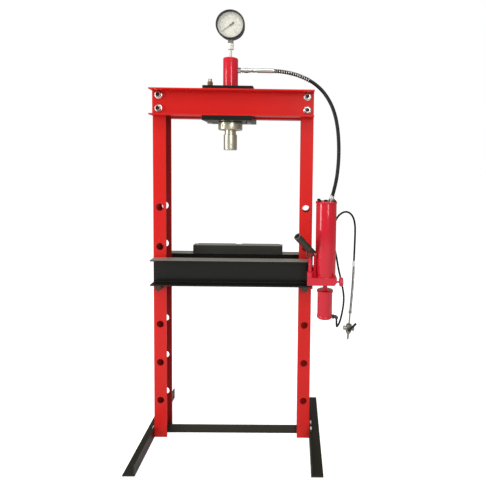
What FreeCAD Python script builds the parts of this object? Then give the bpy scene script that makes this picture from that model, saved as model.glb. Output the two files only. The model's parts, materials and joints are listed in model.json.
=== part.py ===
import FreeCAD, Part
import math
import os
import re
import Sketcher
from FreeCAD import Placement, Rotation, Vector

# Floor-standing H-frame press with a hydraulic ram fed by an air-driven pump.
# Millimetres. X runs across the frame, Y from the front to the back, Z up.
# The origin is on the floor, under the middle of the frame.

doc = FreeCAD.newDocument("floor_press")
sheet = doc.addObject("Spreadsheet::Sheet", "sizes")
named = {}
derived = {}
nodes = []


# ---------------------------------------------------------------- document helpers
def size(alias, value, note):
    """One driving dimension: a row of the sheet with its note, its number and its alias."""
    row = len(named) + 1
    sheet.set("A%d" % row, note)
    sheet.set("B%d" % row, str(value))
    sheet.setAlias("B%d" % row, alias)
    named[alias] = value


def derive(word, formula):
    """A word that stands for a formula over other words."""
    derived[word] = "(%s)" % re.sub(r"[a-z][a-z_]+", lambda m: derived.get(m[0], m[0]), formula)


def bind(thing, prop, formula):
    """Ties a property to a formula over the sheet's aliases and the derived words."""
    words = re.sub(r"[a-z][a-z_]+", lambda m: derived.get(m[0], m[0]), str(formula))
    words = re.sub(r"[a-z][a-z_]+", lambda m: "sizes." + m[0] if m[0] in named else m[0], words)
    thing.setExpression(prop, words)


def place(thing, at):
    """Ties the base of a thing's placement to three formulas."""
    for letter, formula in zip("xyz", at):
        bind(thing, ".Placement.Base." + letter, formula)


def box(name, low, lengths):
    """A block from its low corner, with its three lengths."""
    block = doc.addObject("Part::Box", name)
    for prop, formula in zip(("Length", "Width", "Height"), lengths):
        bind(block, prop, formula)
    place(block, low)
    return block


ALONG = {
    "x": Rotation(Vector(0, 1, 0), 90),
    "-x": Rotation(Vector(0, 1, 0), -90),
    "y": Rotation(Vector(1, 0, 0), -90),
    "-y": Rotation(Vector(1, 0, 0), 90),
    "z": Rotation(),
}


def rod(name, base, radius, length, way="z"):
    """A round bar from the centre of one end, along one of the axes."""
    bar = doc.addObject("Part::Cylinder", name)
    bar.Placement = Placement(Vector(), ALONG[way])
    bind(bar, "Radius", radius)
    bind(bar, "Height", length)
    place(bar, base)
    return bar


def hexagon(name, base, flats, length, way="z"):
    """A hexagonal bar from the centre of one end; flats is its size across the flats."""
    bar = doc.addObject("Part::Prism", name)
    bar.Polygon = 6
    bar.Placement = Placement(Vector(), ALONG[way])
    bind(bar, "Circumradius", "(%s) / sqrt(3)" % flats)
    bind(bar, "Height", length)
    place(bar, base)
    return bar


def join(name, *pieces):
    whole = doc.addObject("Part::MultiFuse", name)
    whole.Shapes = list(pieces)
    return whole


def cut(name, base, *tools):
    whole = doc.addObject("Part::Cut", name)
    whole.Base = base
    whole.Tool = tools[0] if len(tools) == 1 else join(name + "_tools", *tools)
    return whole


def group(name, *pieces):
    """Like pieces that share a node and stay separate solids."""
    whole = doc.addObject("Part::Compound", name)
    whole.Links = list(pieces)
    return whole


def node(label, thing):
    thing.Label = label
    nodes.append(thing)
    return thing


def sketch_on(body, name, plane, corners):
    """A closed outline on one of the body's origin planes, each corner tied to two formulas."""
    sketch = body.newObject("Sketcher::SketchObject", name)
    face = next(item for item in body.Origin.OriginFeatures if item.Role == plane)
    sketch.AttachmentSupport = [(face, "")]
    sketch.MapMode = "FlatFace"
    count = len(corners)
    start = [
        Vector(10 * math.cos(2 * math.pi * i / count), 10 * math.sin(2 * math.pi * i / count), 0)
        for i in range(count)
    ]
    for i in range(count):
        sketch.addGeometry(Part.LineSegment(start[i], start[(i + 1) % count]))
    for i in range(count):
        sketch.addConstraint(Sketcher.Constraint("Coincident", i, 2, (i + 1) % count, 1))
    for i, (across, up) in enumerate(corners):
        for kind, formula, value in (("X", across, start[i].x), ("Y", up, start[i].y)):
            number = sketch.addConstraint(
                Sketcher.Constraint("Distance" + kind, -1, 1, i, 1, value)
            )
            bind(sketch, "Constraints[%d]" % number, formula)
    return sketch


def padded(name, plane, corners, length):
    """An outline extruded evenly to both sides of its plane."""
    body = doc.addObject("PartDesign::Body", name)
    pad = body.newObject("PartDesign::Pad", name + "_pad")
    pad.Profile = sketch_on(body, name + "_outline", plane, corners)
    pad.SideType = "Symmetric"
    bind(pad, "Length", length)
    body.Tip = pad
    return body


def raised(name, corners, length, at):
    """An outline in plan, extruded upwards from the height that at gives."""
    body = doc.addObject("PartDesign::Body", name)
    pad = body.newObject("PartDesign::Pad", name + "_pad")
    pad.Profile = sketch_on(body, name + "_outline", "XY_Plane", corners)
    bind(pad, "Length", length)
    body.Tip = pad
    place(body, at)
    return body


def turned(name, corners, at, plane="XZ_Plane"):
    """A half section of (radius, height) corners turned about its own upright axis."""
    body = doc.addObject("PartDesign::Body", name)
    turn = body.newObject("PartDesign::Revolution", name + "_turn")
    sketch = sketch_on(body, name + "_section", plane, corners)
    turn.Profile = sketch
    turn.ReferenceAxis = (sketch, ["V_Axis"])
    turn.Angle = 360
    body.Tip = turn
    place(body, at)
    return body


# ---------------------------------------------------------------- uprights
size("frame_width", 700, "over the outer faces of the uprights")
size("frame_height", 1560, "floor to the top of the crossbeams")
size("upright_depth", 76, "front to back over the upright's flanges")
size("upright_flange", 56, "width of the upright's flanges")
size("upright_wall", 5, "thickness of the upright's steel")
size("upright_drop", 8, "the upright stops this far under the crossbeam's top")
size("floor_gap", 1, "the upright's foot stays off the floor")
size("hole_radius", 16, "holes for the bed pins")
size("hole_first", 173, "height of the lowest pin hole")
size("hole_pitch", 175, "from one pin hole to the next")
size("bolt_radius", 8, "crossbeam bolts")
size("bolt_slack", 0.5, "round a bolt in its plain hole")
size("bolt_pitch", 58, "between the two bolts of a corner")
size("bolt_rise", 4.5, "the bolts of a corner above the crossbeam's middle")
size("beam_height", 113, "height of the crossbeam channels")
size("anchor_radius", 6, "foot and bracket bolts")
size("anchor_height", 30, "foot bolts above the floor")
size("anchor_margin", 13, "foot bolts from the inside of the flanges")
derive("anchor_offset", "upright_depth / 2 - upright_wall - anchor_margin")
size("bracket_bolt_low", 734, "height of the lower bracket bolt")
size("bracket_bolt_pitch", 42, "between the bracket's two bolts on the web")

HOLES = 6
hole_line = "(frame_width / 2 - upright_flange / 2)"
beam_middle = "(frame_height - beam_height / 2)"
bolt_heights = ["(%s + bolt_rise %s bolt_pitch / 2)" % (beam_middle, way) for way in "-+"]
web_inside = "(frame_width / 2 - upright_wall)"


def upright(name, side):
    """A channel with its web outwards; its flanges hold the pin holes and the beam bolts."""
    half, flange = "upright_depth / 2", "(frame_width / 2 - upright_flange)"
    outline = [
        ("frame_width / 2", "-" + half),
        (flange, "-" + half),
        (flange, "-%s + upright_wall" % half),
        (web_inside, "-%s + upright_wall" % half),
        (web_inside, half + " - upright_wall"),
        (flange, half + " - upright_wall"),
        (flange, half),
        ("frame_width / 2", half),
    ]
    outline = [("%d * %s" % (side, across), up) for across, up in outline]
    channel = raised(
        name + "_channel", outline, "frame_height - upright_drop - floor_gap", ("0", "0", "floor_gap")
    )
    across = "%d * %s" % (side, hole_line)
    reach = "upright_depth + 2"
    front = "-upright_depth / 2 - 1"
    drills = [
        rod(
            "%s_pin_hole_%d" % (name, i),
            (across, front, "hole_first + %d * hole_pitch" % i),
            "hole_radius",
            reach,
            "y",
        )
        for i in range(HOLES)
    ]
    for i, height in enumerate(bolt_heights):
        drills.append(
            rod("%s_bolt_hole_%d" % (name, i), (across, front, height), "bolt_radius + bolt_slack", reach, "y")
        )
    web = [("anchor_height", "-anchor_offset"), ("anchor_height", "anchor_offset")]
    if side > 0:
        web += [("bracket_bolt_low", "0"), ("bracket_bolt_low + bracket_bolt_pitch", "0")]
    for i, (height, along) in enumerate(web):
        start = "%d * frame_width / 2 - upright_wall - 1" % side
        drills.append(
            rod(
                "%s_web_hole_%d" % (name, i),
                (start, along, height),
                "anchor_radius + bolt_slack",
                "2 * upright_wall + 2",
                "x",
            )
        )
    return cut(name, channel, *drills)


node("left_upright", upright("upright_left", -1))
node("right_upright", upright("upright_right", 1))


# ---------------------------------------------------------------- crossbeams and their bolts
size("beam_flange", 50, "width of the crossbeam's flanges, which point away from the uprights")
size("beam_wall", 6, "thickness of the crossbeam's steel")
size("bolt_flats", 24, "crossbeam bolts and nuts, across the flats")
size("bolt_head", 10, "height of a crossbeam bolt's head")
size("nut_height", 13, "height of a crossbeam nut over its flange")
size("nut_flange_radius", 16.5, "round flange of a crossbeam nut")
size("nut_flange", 3, "thickness of that flange")
size("bolt_end", 3, "bolt past its nut")
size("thread_slack", 0.05, "round a bolt in its nut")


def channel_section(side, inner, flange, wall, bottom, height):
    """Half outline of a channel on edge: its web at inner, its flanges pointing away from Y = 0."""
    top = "(%s + %s)" % (bottom, height)
    outline = [
        (inner, bottom),
        ("(%s + %s)" % (inner, flange), bottom),
        ("(%s + %s)" % (inner, flange), "(%s + %s)" % (bottom, wall)),
        ("(%s + %s)" % (inner, wall), "(%s + %s)" % (bottom, wall)),
        ("(%s + %s)" % (inner, wall), "(%s - %s)" % (top, wall)),
        ("(%s + %s)" % (inner, flange), "(%s - %s)" % (top, wall)),
        ("(%s + %s)" % (inner, flange), top),
        (inner, top),
    ]
    return [("%d * %s" % (side, along), up) for along, up in outline]


def crossbeam(name, side):
    section = channel_section(
        side, "upright_depth / 2", "beam_flange", "beam_wall", "(frame_height - beam_height)", "beam_height"
    )
    channel = padded(name + "_channel", "YZ_Plane", section, "frame_width")
    drills = [
        rod(
            "%s_hole_%d%d" % (name, hand, i),
            ("%d * %s" % (hand, hole_line), "%d * upright_depth / 2 - beam_wall - 1" % side, height),
            "bolt_radius + bolt_slack",
            "2 * beam_wall + 2",
            "y",
        )
        for hand in (-1, 1)
        for i, height in enumerate(bolt_heights)
    ]
    return cut(name, channel, *drills)


node("front_crossbeam", crossbeam("crossbeam_front", -1))
node("rear_crossbeam", crossbeam("crossbeam_rear", 1))

bolts, nuts = [], []
for hand in (-1, 1):
    for side, way in ((-1, "-y"), (1, "y")):
        for i, height in enumerate(bolt_heights):
            tag = "_%d%d%d" % (hand + 1, side + 1, i)
            across = "%d * %s" % (hand, hole_line)
            inside = "%d * (upright_depth / 2 - upright_wall)" % side
            face = "%d * (upright_depth / 2 + beam_wall)" % side
            head = hexagon(
                "beam_bolt_head" + tag,
                (across, "%d * (upright_depth / 2 - upright_wall - bolt_head)" % side, height),
                "bolt_flats",
                "bolt_head",
                way,
            )
            shank = rod(
                "beam_bolt_shank" + tag,
                (across, inside, height),
                "bolt_radius",
                "upright_wall + beam_wall + nut_height + bolt_end",
                way,
            )
            bolts.append(join("beam_bolt" + tag, head, shank))
            body = join(
                "beam_nut_body" + tag,
                rod("beam_nut_flange" + tag, (across, face, height), "nut_flange_radius", "nut_flange", way),
                hexagon("beam_nut_hex" + tag, (across, face, height), "bolt_flats", "nut_height", way),
            )
            bore = rod(
                "beam_nut_bore" + tag,
                (across, "%s - %d" % (face, side), height),
                "bolt_radius + thread_slack",
                "nut_height + 2",
                way,
            )
            nuts.append(cut("beam_nut" + tag, body, bore))
node("crossbeam_bolts", group("beam_bolts", *bolts))
node("crossbeam_nuts", group("beam_nuts", *nuts))


# ---------------------------------------------------------------- feet, base tie and M12 bolts
size("foot_length", 500, "front to back")
size("foot_leg", 50, "width of the foot on the floor")
size("foot_height", 48, "height of the foot's upright leg")
size("foot_wall", 5, "thickness of the foot's angle")
size("tie_leg", 38, "upright leg of the base tie's angle")
size("tie_side", 3, "between its floor leg and the upright's rear flange")
size("tie_wall", 4, "thickness of the base tie")
size("tie_clear", 1.03, "between the tie's front face and the foot bolts' nuts")
size("tie_plate", 5, "end plates of the tie")
size("tie_plate_slack", 2, "between an end plate and the upright's flanges")
derive("tie_plate_depth", "upright_depth - 2 * upright_wall - 2 * tie_plate_slack")
size("tie_plate_top", 60, "top of an end plate")
size("anchor_flats", 19, "foot and bracket bolts, across the flats")
size("anchor_head", 8, "height of those heads")
size("anchor_nut", 10, "height of those nuts")
derive("tie_front", "anchor_offset - anchor_flats / sqrt(3) - tie_clear")
derive("tie_back", "upright_depth / 2 - upright_wall - tie_side")


def foot(name, side):
    """An angle iron lying front to back, its upright leg against the web."""
    near, far = "frame_width / 2", "(frame_width / 2 + foot_leg)"
    wall = "(frame_width / 2 + foot_wall)"
    outline = [
        (near, "0"),
        (far, "0"),
        (far, "foot_wall"),
        (wall, "foot_wall"),
        (wall, "foot_height"),
        (near, "foot_height"),
    ]
    outline = [("%d * %s" % (side, across), up) for across, up in outline]
    angle = padded(name + "_angle", "XZ_Plane", outline, "foot_length")
    drills = [
        rod(
            "%s_hole_%d" % (name, i),
            ("%d * frame_width / 2 - foot_wall - 1" % side, along, "anchor_height"),
            "anchor_radius + bolt_slack",
            "2 * foot_wall + 2",
            "x",
        )
        for i, along in enumerate(("-anchor_offset", "anchor_offset"))
    ]
    return cut(name, angle, *drills)


node("left_foot", foot("foot_left", -1))
node("right_foot", foot("foot_right", 1))

tie_end = "(frame_width / 2 - upright_wall)"
tie_angle = padded(
    "tie_angle",
    "YZ_Plane",
    [
        ("-tie_front", "0"),
        ("tie_back", "0"),
        ("tie_back", "tie_wall"),
        ("tie_wall - tie_front", "tie_wall"),
        ("tie_wall - tie_front", "tie_leg"),
        ("-tie_front", "tie_leg"),
    ],
    "2 * (%s - tie_plate)" % tie_end,
)
tie_plates = []
for side in (-1, 1):
    plate = box(
        "tie_plate_block_%d" % side,
        ("%d * (%s - tie_plate / 2) - tie_plate / 2" % (side, tie_end), "-tie_plate_depth / 2", "floor_gap"),
        ("tie_plate", "tie_plate_depth", "tie_plate_top - floor_gap"),
    )
    drills = [
        rod(
            "tie_plate_hole_%d%d" % (side, i),
            ("%d * (%s - tie_plate / 2) - tie_plate" % (side, tie_end), along, "anchor_height"),
            "anchor_radius + bolt_slack",
            "2 * tie_plate",
            "x",
        )
        for i, along in enumerate(("-anchor_offset", "anchor_offset"))
    ]
    tie_plates.append(cut("tie_plate_%d" % side, plate, *drills))
node("base_tie", join("tie", tie_angle, *tie_plates))


def anchor(tag, head_face, way, back, at, grip, nut=True):
    """An M12 bolt: its head on head_face, its shank against the way, and a nut past its grip."""
    sign = -1 if way.startswith("-") else 1
    axis = way[-1]
    spot = {"x": (head_face,) + at, "y": (at[0], head_face, at[1])}[axis]
    reach = "%s + %s" % (grip, "anchor_nut + 3" if nut else "0")
    pieces = [
        hexagon("anchor_head" + tag, spot, "anchor_flats", "anchor_head", way),
        rod("anchor_shank" + tag, spot, "anchor_radius", reach, back),
    ]
    bolt = join("anchor_bolt" + tag, *pieces)
    if not nut:
        return [bolt]
    far = "%s - %d * (%s)" % (head_face, sign, grip)
    place_nut = {"x": (far,) + at, "y": (at[0], far, at[1])}[axis]
    body = hexagon("anchor_nut_hex" + tag, place_nut, "anchor_flats", "anchor_nut", back)
    bore = rod("anchor_nut_bore" + tag, place_nut, "anchor_radius + thread_slack", "anchor_nut + 1", back)
    return [bolt, cut("anchor_nut" + tag, body, bore)]


size("bracket_wall", 6, "plate of the pump bracket")
anchors = []
for side, way, back in ((-1, "-x", "x"), (1, "x", "-x")):
    for i, along in enumerate(("-anchor_offset", "anchor_offset")):
        anchors += anchor(
            "_foot_%d%d" % (side + 1, i),
            "%d * (frame_width / 2 + foot_wall)" % side,
            way,
            back,
            (along, "anchor_height"),
            "foot_wall + upright_wall + tie_plate",
        )
for i, height in enumerate(("bracket_bolt_low", "bracket_bolt_low + bracket_bolt_pitch")):
    anchors += anchor(
        "_bracket_%d" % i,
        "frame_width / 2 + bracket_wall",
        "x",
        "-x",
        ("0", height),
        "bracket_wall + upright_wall",
    )


# ---------------------------------------------------------------- head plates, clamp bolts and cylinder
size("head_x", -19, "the cylinder's axis, across the frame")
size("plate_width", 214, "width of both head plates")
size("top_plate_depth", 150, "front to back")
size("top_plate_thick", 15, "thickness of the top plate")
size("low_plate_depth", 176, "front to back")
size("low_plate_thick", 20, "thickness of the lower plate")
size("clamp_offset", 85, "clamp bolts from the cylinder's axis")
size("clamp_radius", 8, "clamp bolts")
derive("clamp_forward", "upright_depth / 2 - clamp_radius - clamp_clear")
size("clamp_flats", 22, "clamp bolt heads and nut, across the flats")
size("clamp_head", 10, "height of a clamp bolt's head")
size("clamp_clear", 6, "between the clamp bolts and the front crossbeam's web")
size("clamp_nut", 24, "height of the clamp nut")
size("clamp_end", 12, "clamp bolt past its nut")
size("barrel_radius", 32.75, "outside of the cylinder")
size("barrel_rise", 147, "top of the cylinder above the crossbeams")
derive("barrel_top", "frame_height + barrel_rise")
size("barrel_slack", 0.3, "round the cylinder in the plates")
size("bore_radius", 28, "bore of the cylinder")
size("barrel_end", 25, "closed end of the cylinder")
size("port_radius", 5, "gauge port")
size("hose_port_rise", 96, "middle of the hose's port above the crossbeams")
derive("hose_port_height", "frame_height + hose_port_rise")
size("hose_port_radius", 7, "hose port")
size("ring_radius", 53, "ring nut under the lower plate")
size("ring_height", 35, "height of the ring nut")
size("ring_chamfer", 3, "chamfers of the ring nut")
size("tommy_radius", 3.5, "spanner holes of the ring nut")
size("tommy_depth", 9, "depth of those holes")

plate_low = "(frame_height - beam_height - low_plate_thick)"
ring_low = "(%s - ring_height)" % plate_low
top_face = "(frame_height + top_plate_thick)"


def head_plate(name, depth, thick, bottom):
    plate = box(
        name + "_blank", ("head_x - plate_width / 2", "-%s / 2" % depth, bottom), ("plate_width", depth, thick)
    )
    below = "%s - 1" % bottom
    drills = [rod(name + "_bore", ("head_x", "0", below), "barrel_radius + barrel_slack", thick + " + 2")]
    for i, side in enumerate("-+"):
        drills.append(
            rod(
                "%s_hole_%d" % (name, i),
                ("head_x %s clamp_offset" % side, "-clamp_forward", below),
                "clamp_radius + bolt_slack",
                thick + " + 2",
            )
        )
    return cut(name, plate, *drills)


node("head_plate_top", head_plate("plate_top", "top_plate_depth", "top_plate_thick", "frame_height"))
node("head_plate_bottom", head_plate("plate_bottom", "low_plate_depth", "low_plate_thick", plate_low))

clamps = []
for side, extra in (("-", "clamp_nut + clamp_end"), ("+", "0")):
    spot = ("head_x %s clamp_offset" % side, "-clamp_forward", "%s - clamp_head" % plate_low)
    tag = "left" if side == "-" else "right"
    clamps.append(
        join(
            "clamp_bolt_" + tag,
            hexagon("clamp_head_" + tag, spot, "clamp_flats", "clamp_head"),
            rod(
                "clamp_shank_" + tag,
                spot,
                "clamp_radius",
                "%s - %s + clamp_head + %s" % (top_face, plate_low, extra),
            ),
        )
    )
node("head_clamp_bolts", group("clamp_bolts", *clamps))
clamp_spot = ("head_x - clamp_offset", "-clamp_forward", top_face)
node(
    "head_clamp_nut",
    cut(
        "clamp_nut_left",
        hexagon("clamp_nut_hex", clamp_spot, "clamp_flats", "clamp_nut"),
        rod("clamp_nut_bore", clamp_spot, "clamp_radius + thread_slack", "clamp_nut + 1"),
    ),
)

barrel_roof = "(barrel_top - barrel_end)"
barrel = turned(
    "barrel_turned",
    [
        ("bore_radius", ring_low),
        ("barrel_radius", ring_low),
        ("barrel_radius", "barrel_top - 2"),
        ("barrel_radius - 2", "barrel_top"),
        ("port_radius", "barrel_top"),
        ("port_radius", barrel_roof),
        ("bore_radius", barrel_roof),
    ],
    ("head_x", "0", "0"),
)
node(
    "cylinder_barrel",
    cut(
        "barrel",
        barrel,
        rod(
            "barrel_port",
            ("head_x + bore_radius - 4", "0", "hose_port_height"),
            "hose_port_radius",
            "barrel_radius - bore_radius + 8",
            "x",
        ),
    ),
)

ring = turned(
    "ring_turned",
    [
        ("barrel_radius + thread_slack", ring_low),
        ("ring_radius - ring_chamfer", ring_low),
        ("ring_radius", ring_low + " + ring_chamfer"),
        ("ring_radius", plate_low + " - ring_chamfer"),
        ("ring_radius - ring_chamfer", plate_low),
        ("barrel_radius + thread_slack", plate_low),
    ],
    ("head_x", "0", "0"),
)
SPANNER_HOLES = 4
FIRST_HOLE = 241
tommies = []
for i in range(SPANNER_HOLES):
    angle = FIRST_HOLE + 360 * i / SPANNER_HOLES
    hole = doc.addObject("Part::Cylinder", "tommy_hole_%d" % i)
    hole.Placement = Placement(Vector(), Rotation(Vector(0, 0, 1), angle) * ALONG["x"])
    bind(hole, "Radius", "tommy_radius")
    bind(hole, "Height", "tommy_depth + 1")
    reach = "(ring_radius - tommy_depth)"
    place(
        hole,
        (
            "head_x + %s * cos(%g deg)" % (reach, angle),
            "%s * sin(%g deg)" % (reach, angle),
            ring_low + " + ring_height / 2",
        ),
    )
    tommies.append(hole)
node("cylinder_ring_nut", cut("ring_nut", ring, *tommies))


# ---------------------------------------------------------------- ram, seal, spring and saddle
size("rod_radius", 25, "ram rod")
size("slide_slack", 0.05, "radial play of a sliding fit")
size("gland_height", 28, "bronze gland in the cylinder's mouth")
size("piston_height", 25, "piston at the rod's top")
size("piston_rise", 65, "top of the piston, with the ram up, above the crossbeams")
derive("piston_top", "frame_height + piston_rise")
size("seal_depth", 3, "seal groove of the piston")
size("seal_height", 6, "height of the seal")
size("hollow_radius", 15, "spring space inside the rod")
size("hollow_drop", 160, "bottom of the spring space below the crossbeams' top")
derive("hollow_floor", "frame_height - hollow_drop")
size("saddle_radius", 29.25, "pressing head")
size("saddle_height", 70, "height of the pressing head")
size("saddle_gap", 19, "rod that shows between the ring nut and the head")
size("spigot_radius", 18, "rod end inside the head")
size("spigot_depth", 25, "how deep it goes in")
size("spring_radius", 11, "middle of the return spring's wire")
size("spring_wire", 2, "radius of that wire")

SPRING_TURNS = 18
saddle_top = "(%s - saddle_gap)" % ring_low
seal_low = "(piston_top - piston_height / 2 - seal_height / 2)"
node(
    "cylinder_gland",
    turned(
        "gland",
        [
            ("rod_radius + slide_slack", ring_low),
            ("bore_radius - thread_slack", ring_low),
            ("bore_radius - thread_slack", ring_low + " + gland_height"),
            ("rod_radius + slide_slack", ring_low + " + gland_height"),
        ],
        ("head_x", "0", "0"),
    ),
)
piston_radius = "(bore_radius - 2 * slide_slack)"
node(
    "ram_rod",
    turned(
        "ram",
        [
            ("0", saddle_top + " - spigot_depth"),
            ("spigot_radius", saddle_top + " - spigot_depth"),
            ("spigot_radius", saddle_top),
            ("rod_radius", saddle_top),
            ("rod_radius", "piston_top - piston_height"),
            (piston_radius, "piston_top - piston_height"),
            (piston_radius, seal_low),
            (piston_radius + " - seal_depth", seal_low),
            (piston_radius + " - seal_depth", seal_low + " + seal_height"),
            (piston_radius, seal_low + " + seal_height"),
            (piston_radius, "piston_top"),
            ("hollow_radius", "piston_top"),
            ("hollow_radius", "hollow_floor"),
            ("0", "hollow_floor"),
        ],
        ("head_x", "0", "0"),
    ),
)
node(
    "piston_seal",
    turned(
        "seal",
        [
            (piston_radius + " - seal_depth + thread_slack", seal_low + " + thread_slack"),
            ("bore_radius - slide_slack", seal_low + " + thread_slack"),
            ("bore_radius - slide_slack", seal_low + " + seal_height - thread_slack"),
            (piston_radius + " - seal_depth + thread_slack", seal_low + " + seal_height - thread_slack"),
        ],
        ("head_x", "0", "0"),
    ),
)
saddle_low = "(%s - saddle_height)" % saddle_top
node(
    "ram_saddle",
    turned(
        "saddle",
        [
            ("0", saddle_low),
            ("saddle_radius - 3", saddle_low),
            ("saddle_radius", saddle_low + " + 3"),
            ("saddle_radius", saddle_top + " - 2"),
            ("saddle_radius - 2", saddle_top),
            ("spigot_radius + thread_slack", saddle_top),
            ("spigot_radius + thread_slack", saddle_top + " - spigot_depth"),
            ("0", saddle_top + " - spigot_depth"),
        ],
        ("head_x", "0", "0"),
    ),
)

wire_radius = named["spring_wire"]
coil_low = named["frame_height"] - named["hollow_drop"] + wire_radius + 0.2
coil_high = named["frame_height"] + named["barrel_rise"] - named["barrel_end"] - wire_radius - 0.2
helix = Part.makeHelix((coil_high - coil_low) / SPRING_TURNS, coil_high - coil_low, named["spring_radius"])
wire_end = Part.Wire(
    Part.makeCircle(wire_radius, Vector(named["spring_radius"], 0, 0), Vector(0, 1, 0))
)
spring = doc.addObject("Part::Feature", "spring")
spring.Shape = Part.Wire(helix).makePipeShell([wire_end], True, True)
spring.Placement = Placement(Vector(named["head_x"], 0, coil_low), Rotation())
node("return_spring", spring)


# ---------------------------------------------------------------- pressure gauge
size("gauge_rise", 143, "middle of the dial above the cylinder")
derive("gauge_height", "barrel_top + gauge_rise")
size("case_radius", 60, "gauge case")
size("case_wall", 2.5, "gauge case")
size("case_back", 18, "back of the case, behind the middle")
size("case_front", 14, "rim of the case, in front of the middle")
size("bezel_radius", 63.5, "outside of the bezel")
size("bezel_inner", 56, "inside of the bezel's lip")
size("bezel_front", 20, "front of the bezel")
size("bezel_depth", 9, "front to back of the bezel")
size("glass_thick", 2.5, "gauge glass")
size("glass_front", 15, "front face of the glass")
size("dial_front", 6, "front face of the dial")
size("dial_thick", 1.5, "dial plate")
size("arbor_radius", 1.5, "needle's arbor")
size("needle_front", 9.5, "front face of the needle")
size("needle_thick", 0.8, "needle")
size("needle_length", 46, "pivot to tip")
size("needle_tail", 19, "pivot to the end of the tail")
size("needle_width", 3, "needle")
size("needle_hub", 5, "radius of the needle's hub")
size("stem_width", 21, "square socket under the case")
size("stem_drop", 79, "bottom of that socket below the middle of the dial")
derive("stem_low", "gauge_height - stem_drop")
size("adaptor_flats", 24, "hexagon of the gauge adaptor")
size("adaptor_drop", 103, "bottom of that hexagon below the middle of the dial")
derive("adaptor_low", "gauge_height - adaptor_drop")
size("nipple_radius", 5.5, "nipple between the cylinder and the adaptor")

NEEDLE_REST = 143.3
gauge_spot = ("head_x", "0", "gauge_height")
inner = "(case_radius - case_wall)"
cup = turned(
    "gauge_cup",
    [
        ("0", "case_back"),
        ("case_radius", "case_back"),
        ("case_radius", "-case_front"),
        (inner, "-case_front"),
        (inner, "case_back - case_wall"),
        ("0", "case_back - case_wall"),
    ],
    gauge_spot,
    "XY_Plane",
)
stem = box(
    "gauge_stem_block",
    ("head_x - stem_width / 2", "-stem_width / 2", "stem_low"),
    ("stem_width", "stem_width", "gauge_height - case_radius + 3 - stem_low"),
)
stem_cut = cut("gauge_stem", stem, rod("gauge_stem_clear", ("head_x", "-case_front", "gauge_height"), inner, "40", "y"))
node("gauge_case", join("gauge_body", cup, stem_cut))
bezel_back = "(bezel_depth - bezel_front)"
node(
    "gauge_bezel",
    turned(
        "bezel",
        [
            ("bezel_inner", "-glass_front - 0.2"),
            ("bezel_inner", "-bezel_front + 2"),
            ("case_radius", "-bezel_front"),
            ("bezel_radius", "-bezel_front + 4"),
            ("bezel_radius", bezel_back),
            ("case_radius + thread_slack", bezel_back),
            ("case_radius + thread_slack", "-glass_front - 0.2"),
        ],
        gauge_spot,
        "XY_Plane",
    ),
)
node(
    "gauge_glass",
    rod(
        "glass",
        ("head_x", "-glass_front", "gauge_height"),
        "(case_radius - case_wall - thread_slack)",
        "glass_thick",
        "y",
    ),
)
node(
    "gauge_dial",
    cut(
        "dial",
        rod("dial_plate", ("head_x", "-dial_front", "gauge_height"), inner + " - thread_slack", "dial_thick", "y"),
        rod("dial_hole", ("head_x", "-dial_front - 1", "gauge_height"), "arbor_radius + slide_slack", "9", "y"),
    ),
)
pointer = padded(
    "needle_plate",
    "XZ_Plane",
    [
        ("-needle_tail", "-needle_width / 2"),
        ("needle_hub", "-needle_width / 2"),
        ("needle_length", "-0.5"),
        ("needle_length", "0.5"),
        ("needle_hub", "needle_width / 2"),
        ("-needle_tail", "needle_width / 2"),
    ],
    "needle_thick",
)
needle = join(
    "needle",
    pointer,
    rod("needle_boss", ("0", "-needle_thick / 2", "0"), "needle_hub", "needle_thick", "y"),
    rod("needle_weight", ("-needle_tail", "-needle_thick / 2", "0"), "needle_hub - 1", "needle_thick", "y"),
    rod("needle_arbor", ("0", "0", "0"), "arbor_radius", "needle_front - needle_thick / 2", "y"),
)
needle.Placement = Placement(Vector(), Rotation(Vector(0, 1, 0), NEEDLE_REST))
place(needle, ("head_x", "-needle_front + needle_thick / 2", "gauge_height"))
node("gauge_needle", needle)

adaptor_spot = ("head_x", "0", "adaptor_low")
node(
    "gauge_adaptor",
    join(
        "adaptor",
        hexagon("adaptor_hex", adaptor_spot, "adaptor_flats", "stem_low - adaptor_low"),
        rod("adaptor_nipple", ("head_x", "0", "barrel_top"), "nipple_radius", "adaptor_low - barrel_top"),
        rod(
            "adaptor_spigot",
            ("head_x", "0", "barrel_top - barrel_end / 2"),
            "port_radius - thread_slack",
            "barrel_end / 2",
        ),
    ),
)


# ---------------------------------------------------------------- cords
def route_edges(points):
    """Straight runs joined by tangent arcs, each as large as its two runs allow."""
    corners = [Vector(*point) for point in points]
    edges = []
    here = corners[0]
    for before, corner, after in zip(corners, corners[1:], corners[2:]):
        back, ahead = before - corner, after - corner
        turn = math.pi - back.getAngle(ahead)
        reach = 0.45 * min(back.Length, ahead.Length)
        radius = reach / math.tan(turn / 2)
        back.normalize()
        ahead.normalize()
        start, end = corner + back * reach, corner + ahead * reach
        middle = (back + ahead).normalize()
        crown = corner + middle * (radius / math.cos(turn / 2) - radius)
        edges.append(Part.LineSegment(here, start).toShape())
        edges.append(Part.Arc(start, crown, end).toShape())
        here = end
        print("  turn %5.1f deg, radius %6.1f mm" % (math.degrees(turn), radius))
    edges.append(Part.LineSegment(here, corners[-1]).toShape())
    return edges


def tube(edges, radius):
    """A round bar along some of a route's edges."""
    path = Part.Wire(edges)
    start = edges[0].valueAt(edges[0].FirstParameter)
    ahead = edges[0].tangentAt(edges[0].FirstParameter)
    end = Part.Wire(Part.makeCircle(radius, start, ahead))
    solid = path.makePipeShell([end], True, False)
    wanted = math.pi * radius * radius * path.Length
    if abs(solid.Volume - wanted) > 0.01 * wanted:
        raise ValueError("a tube's volume is not its section times its length")
    return solid


def cord_piece(label, shape):
    piece = doc.addObject("Part::Feature", label + "_shape")
    piece.Shape = shape
    return node(label, piece)


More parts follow.
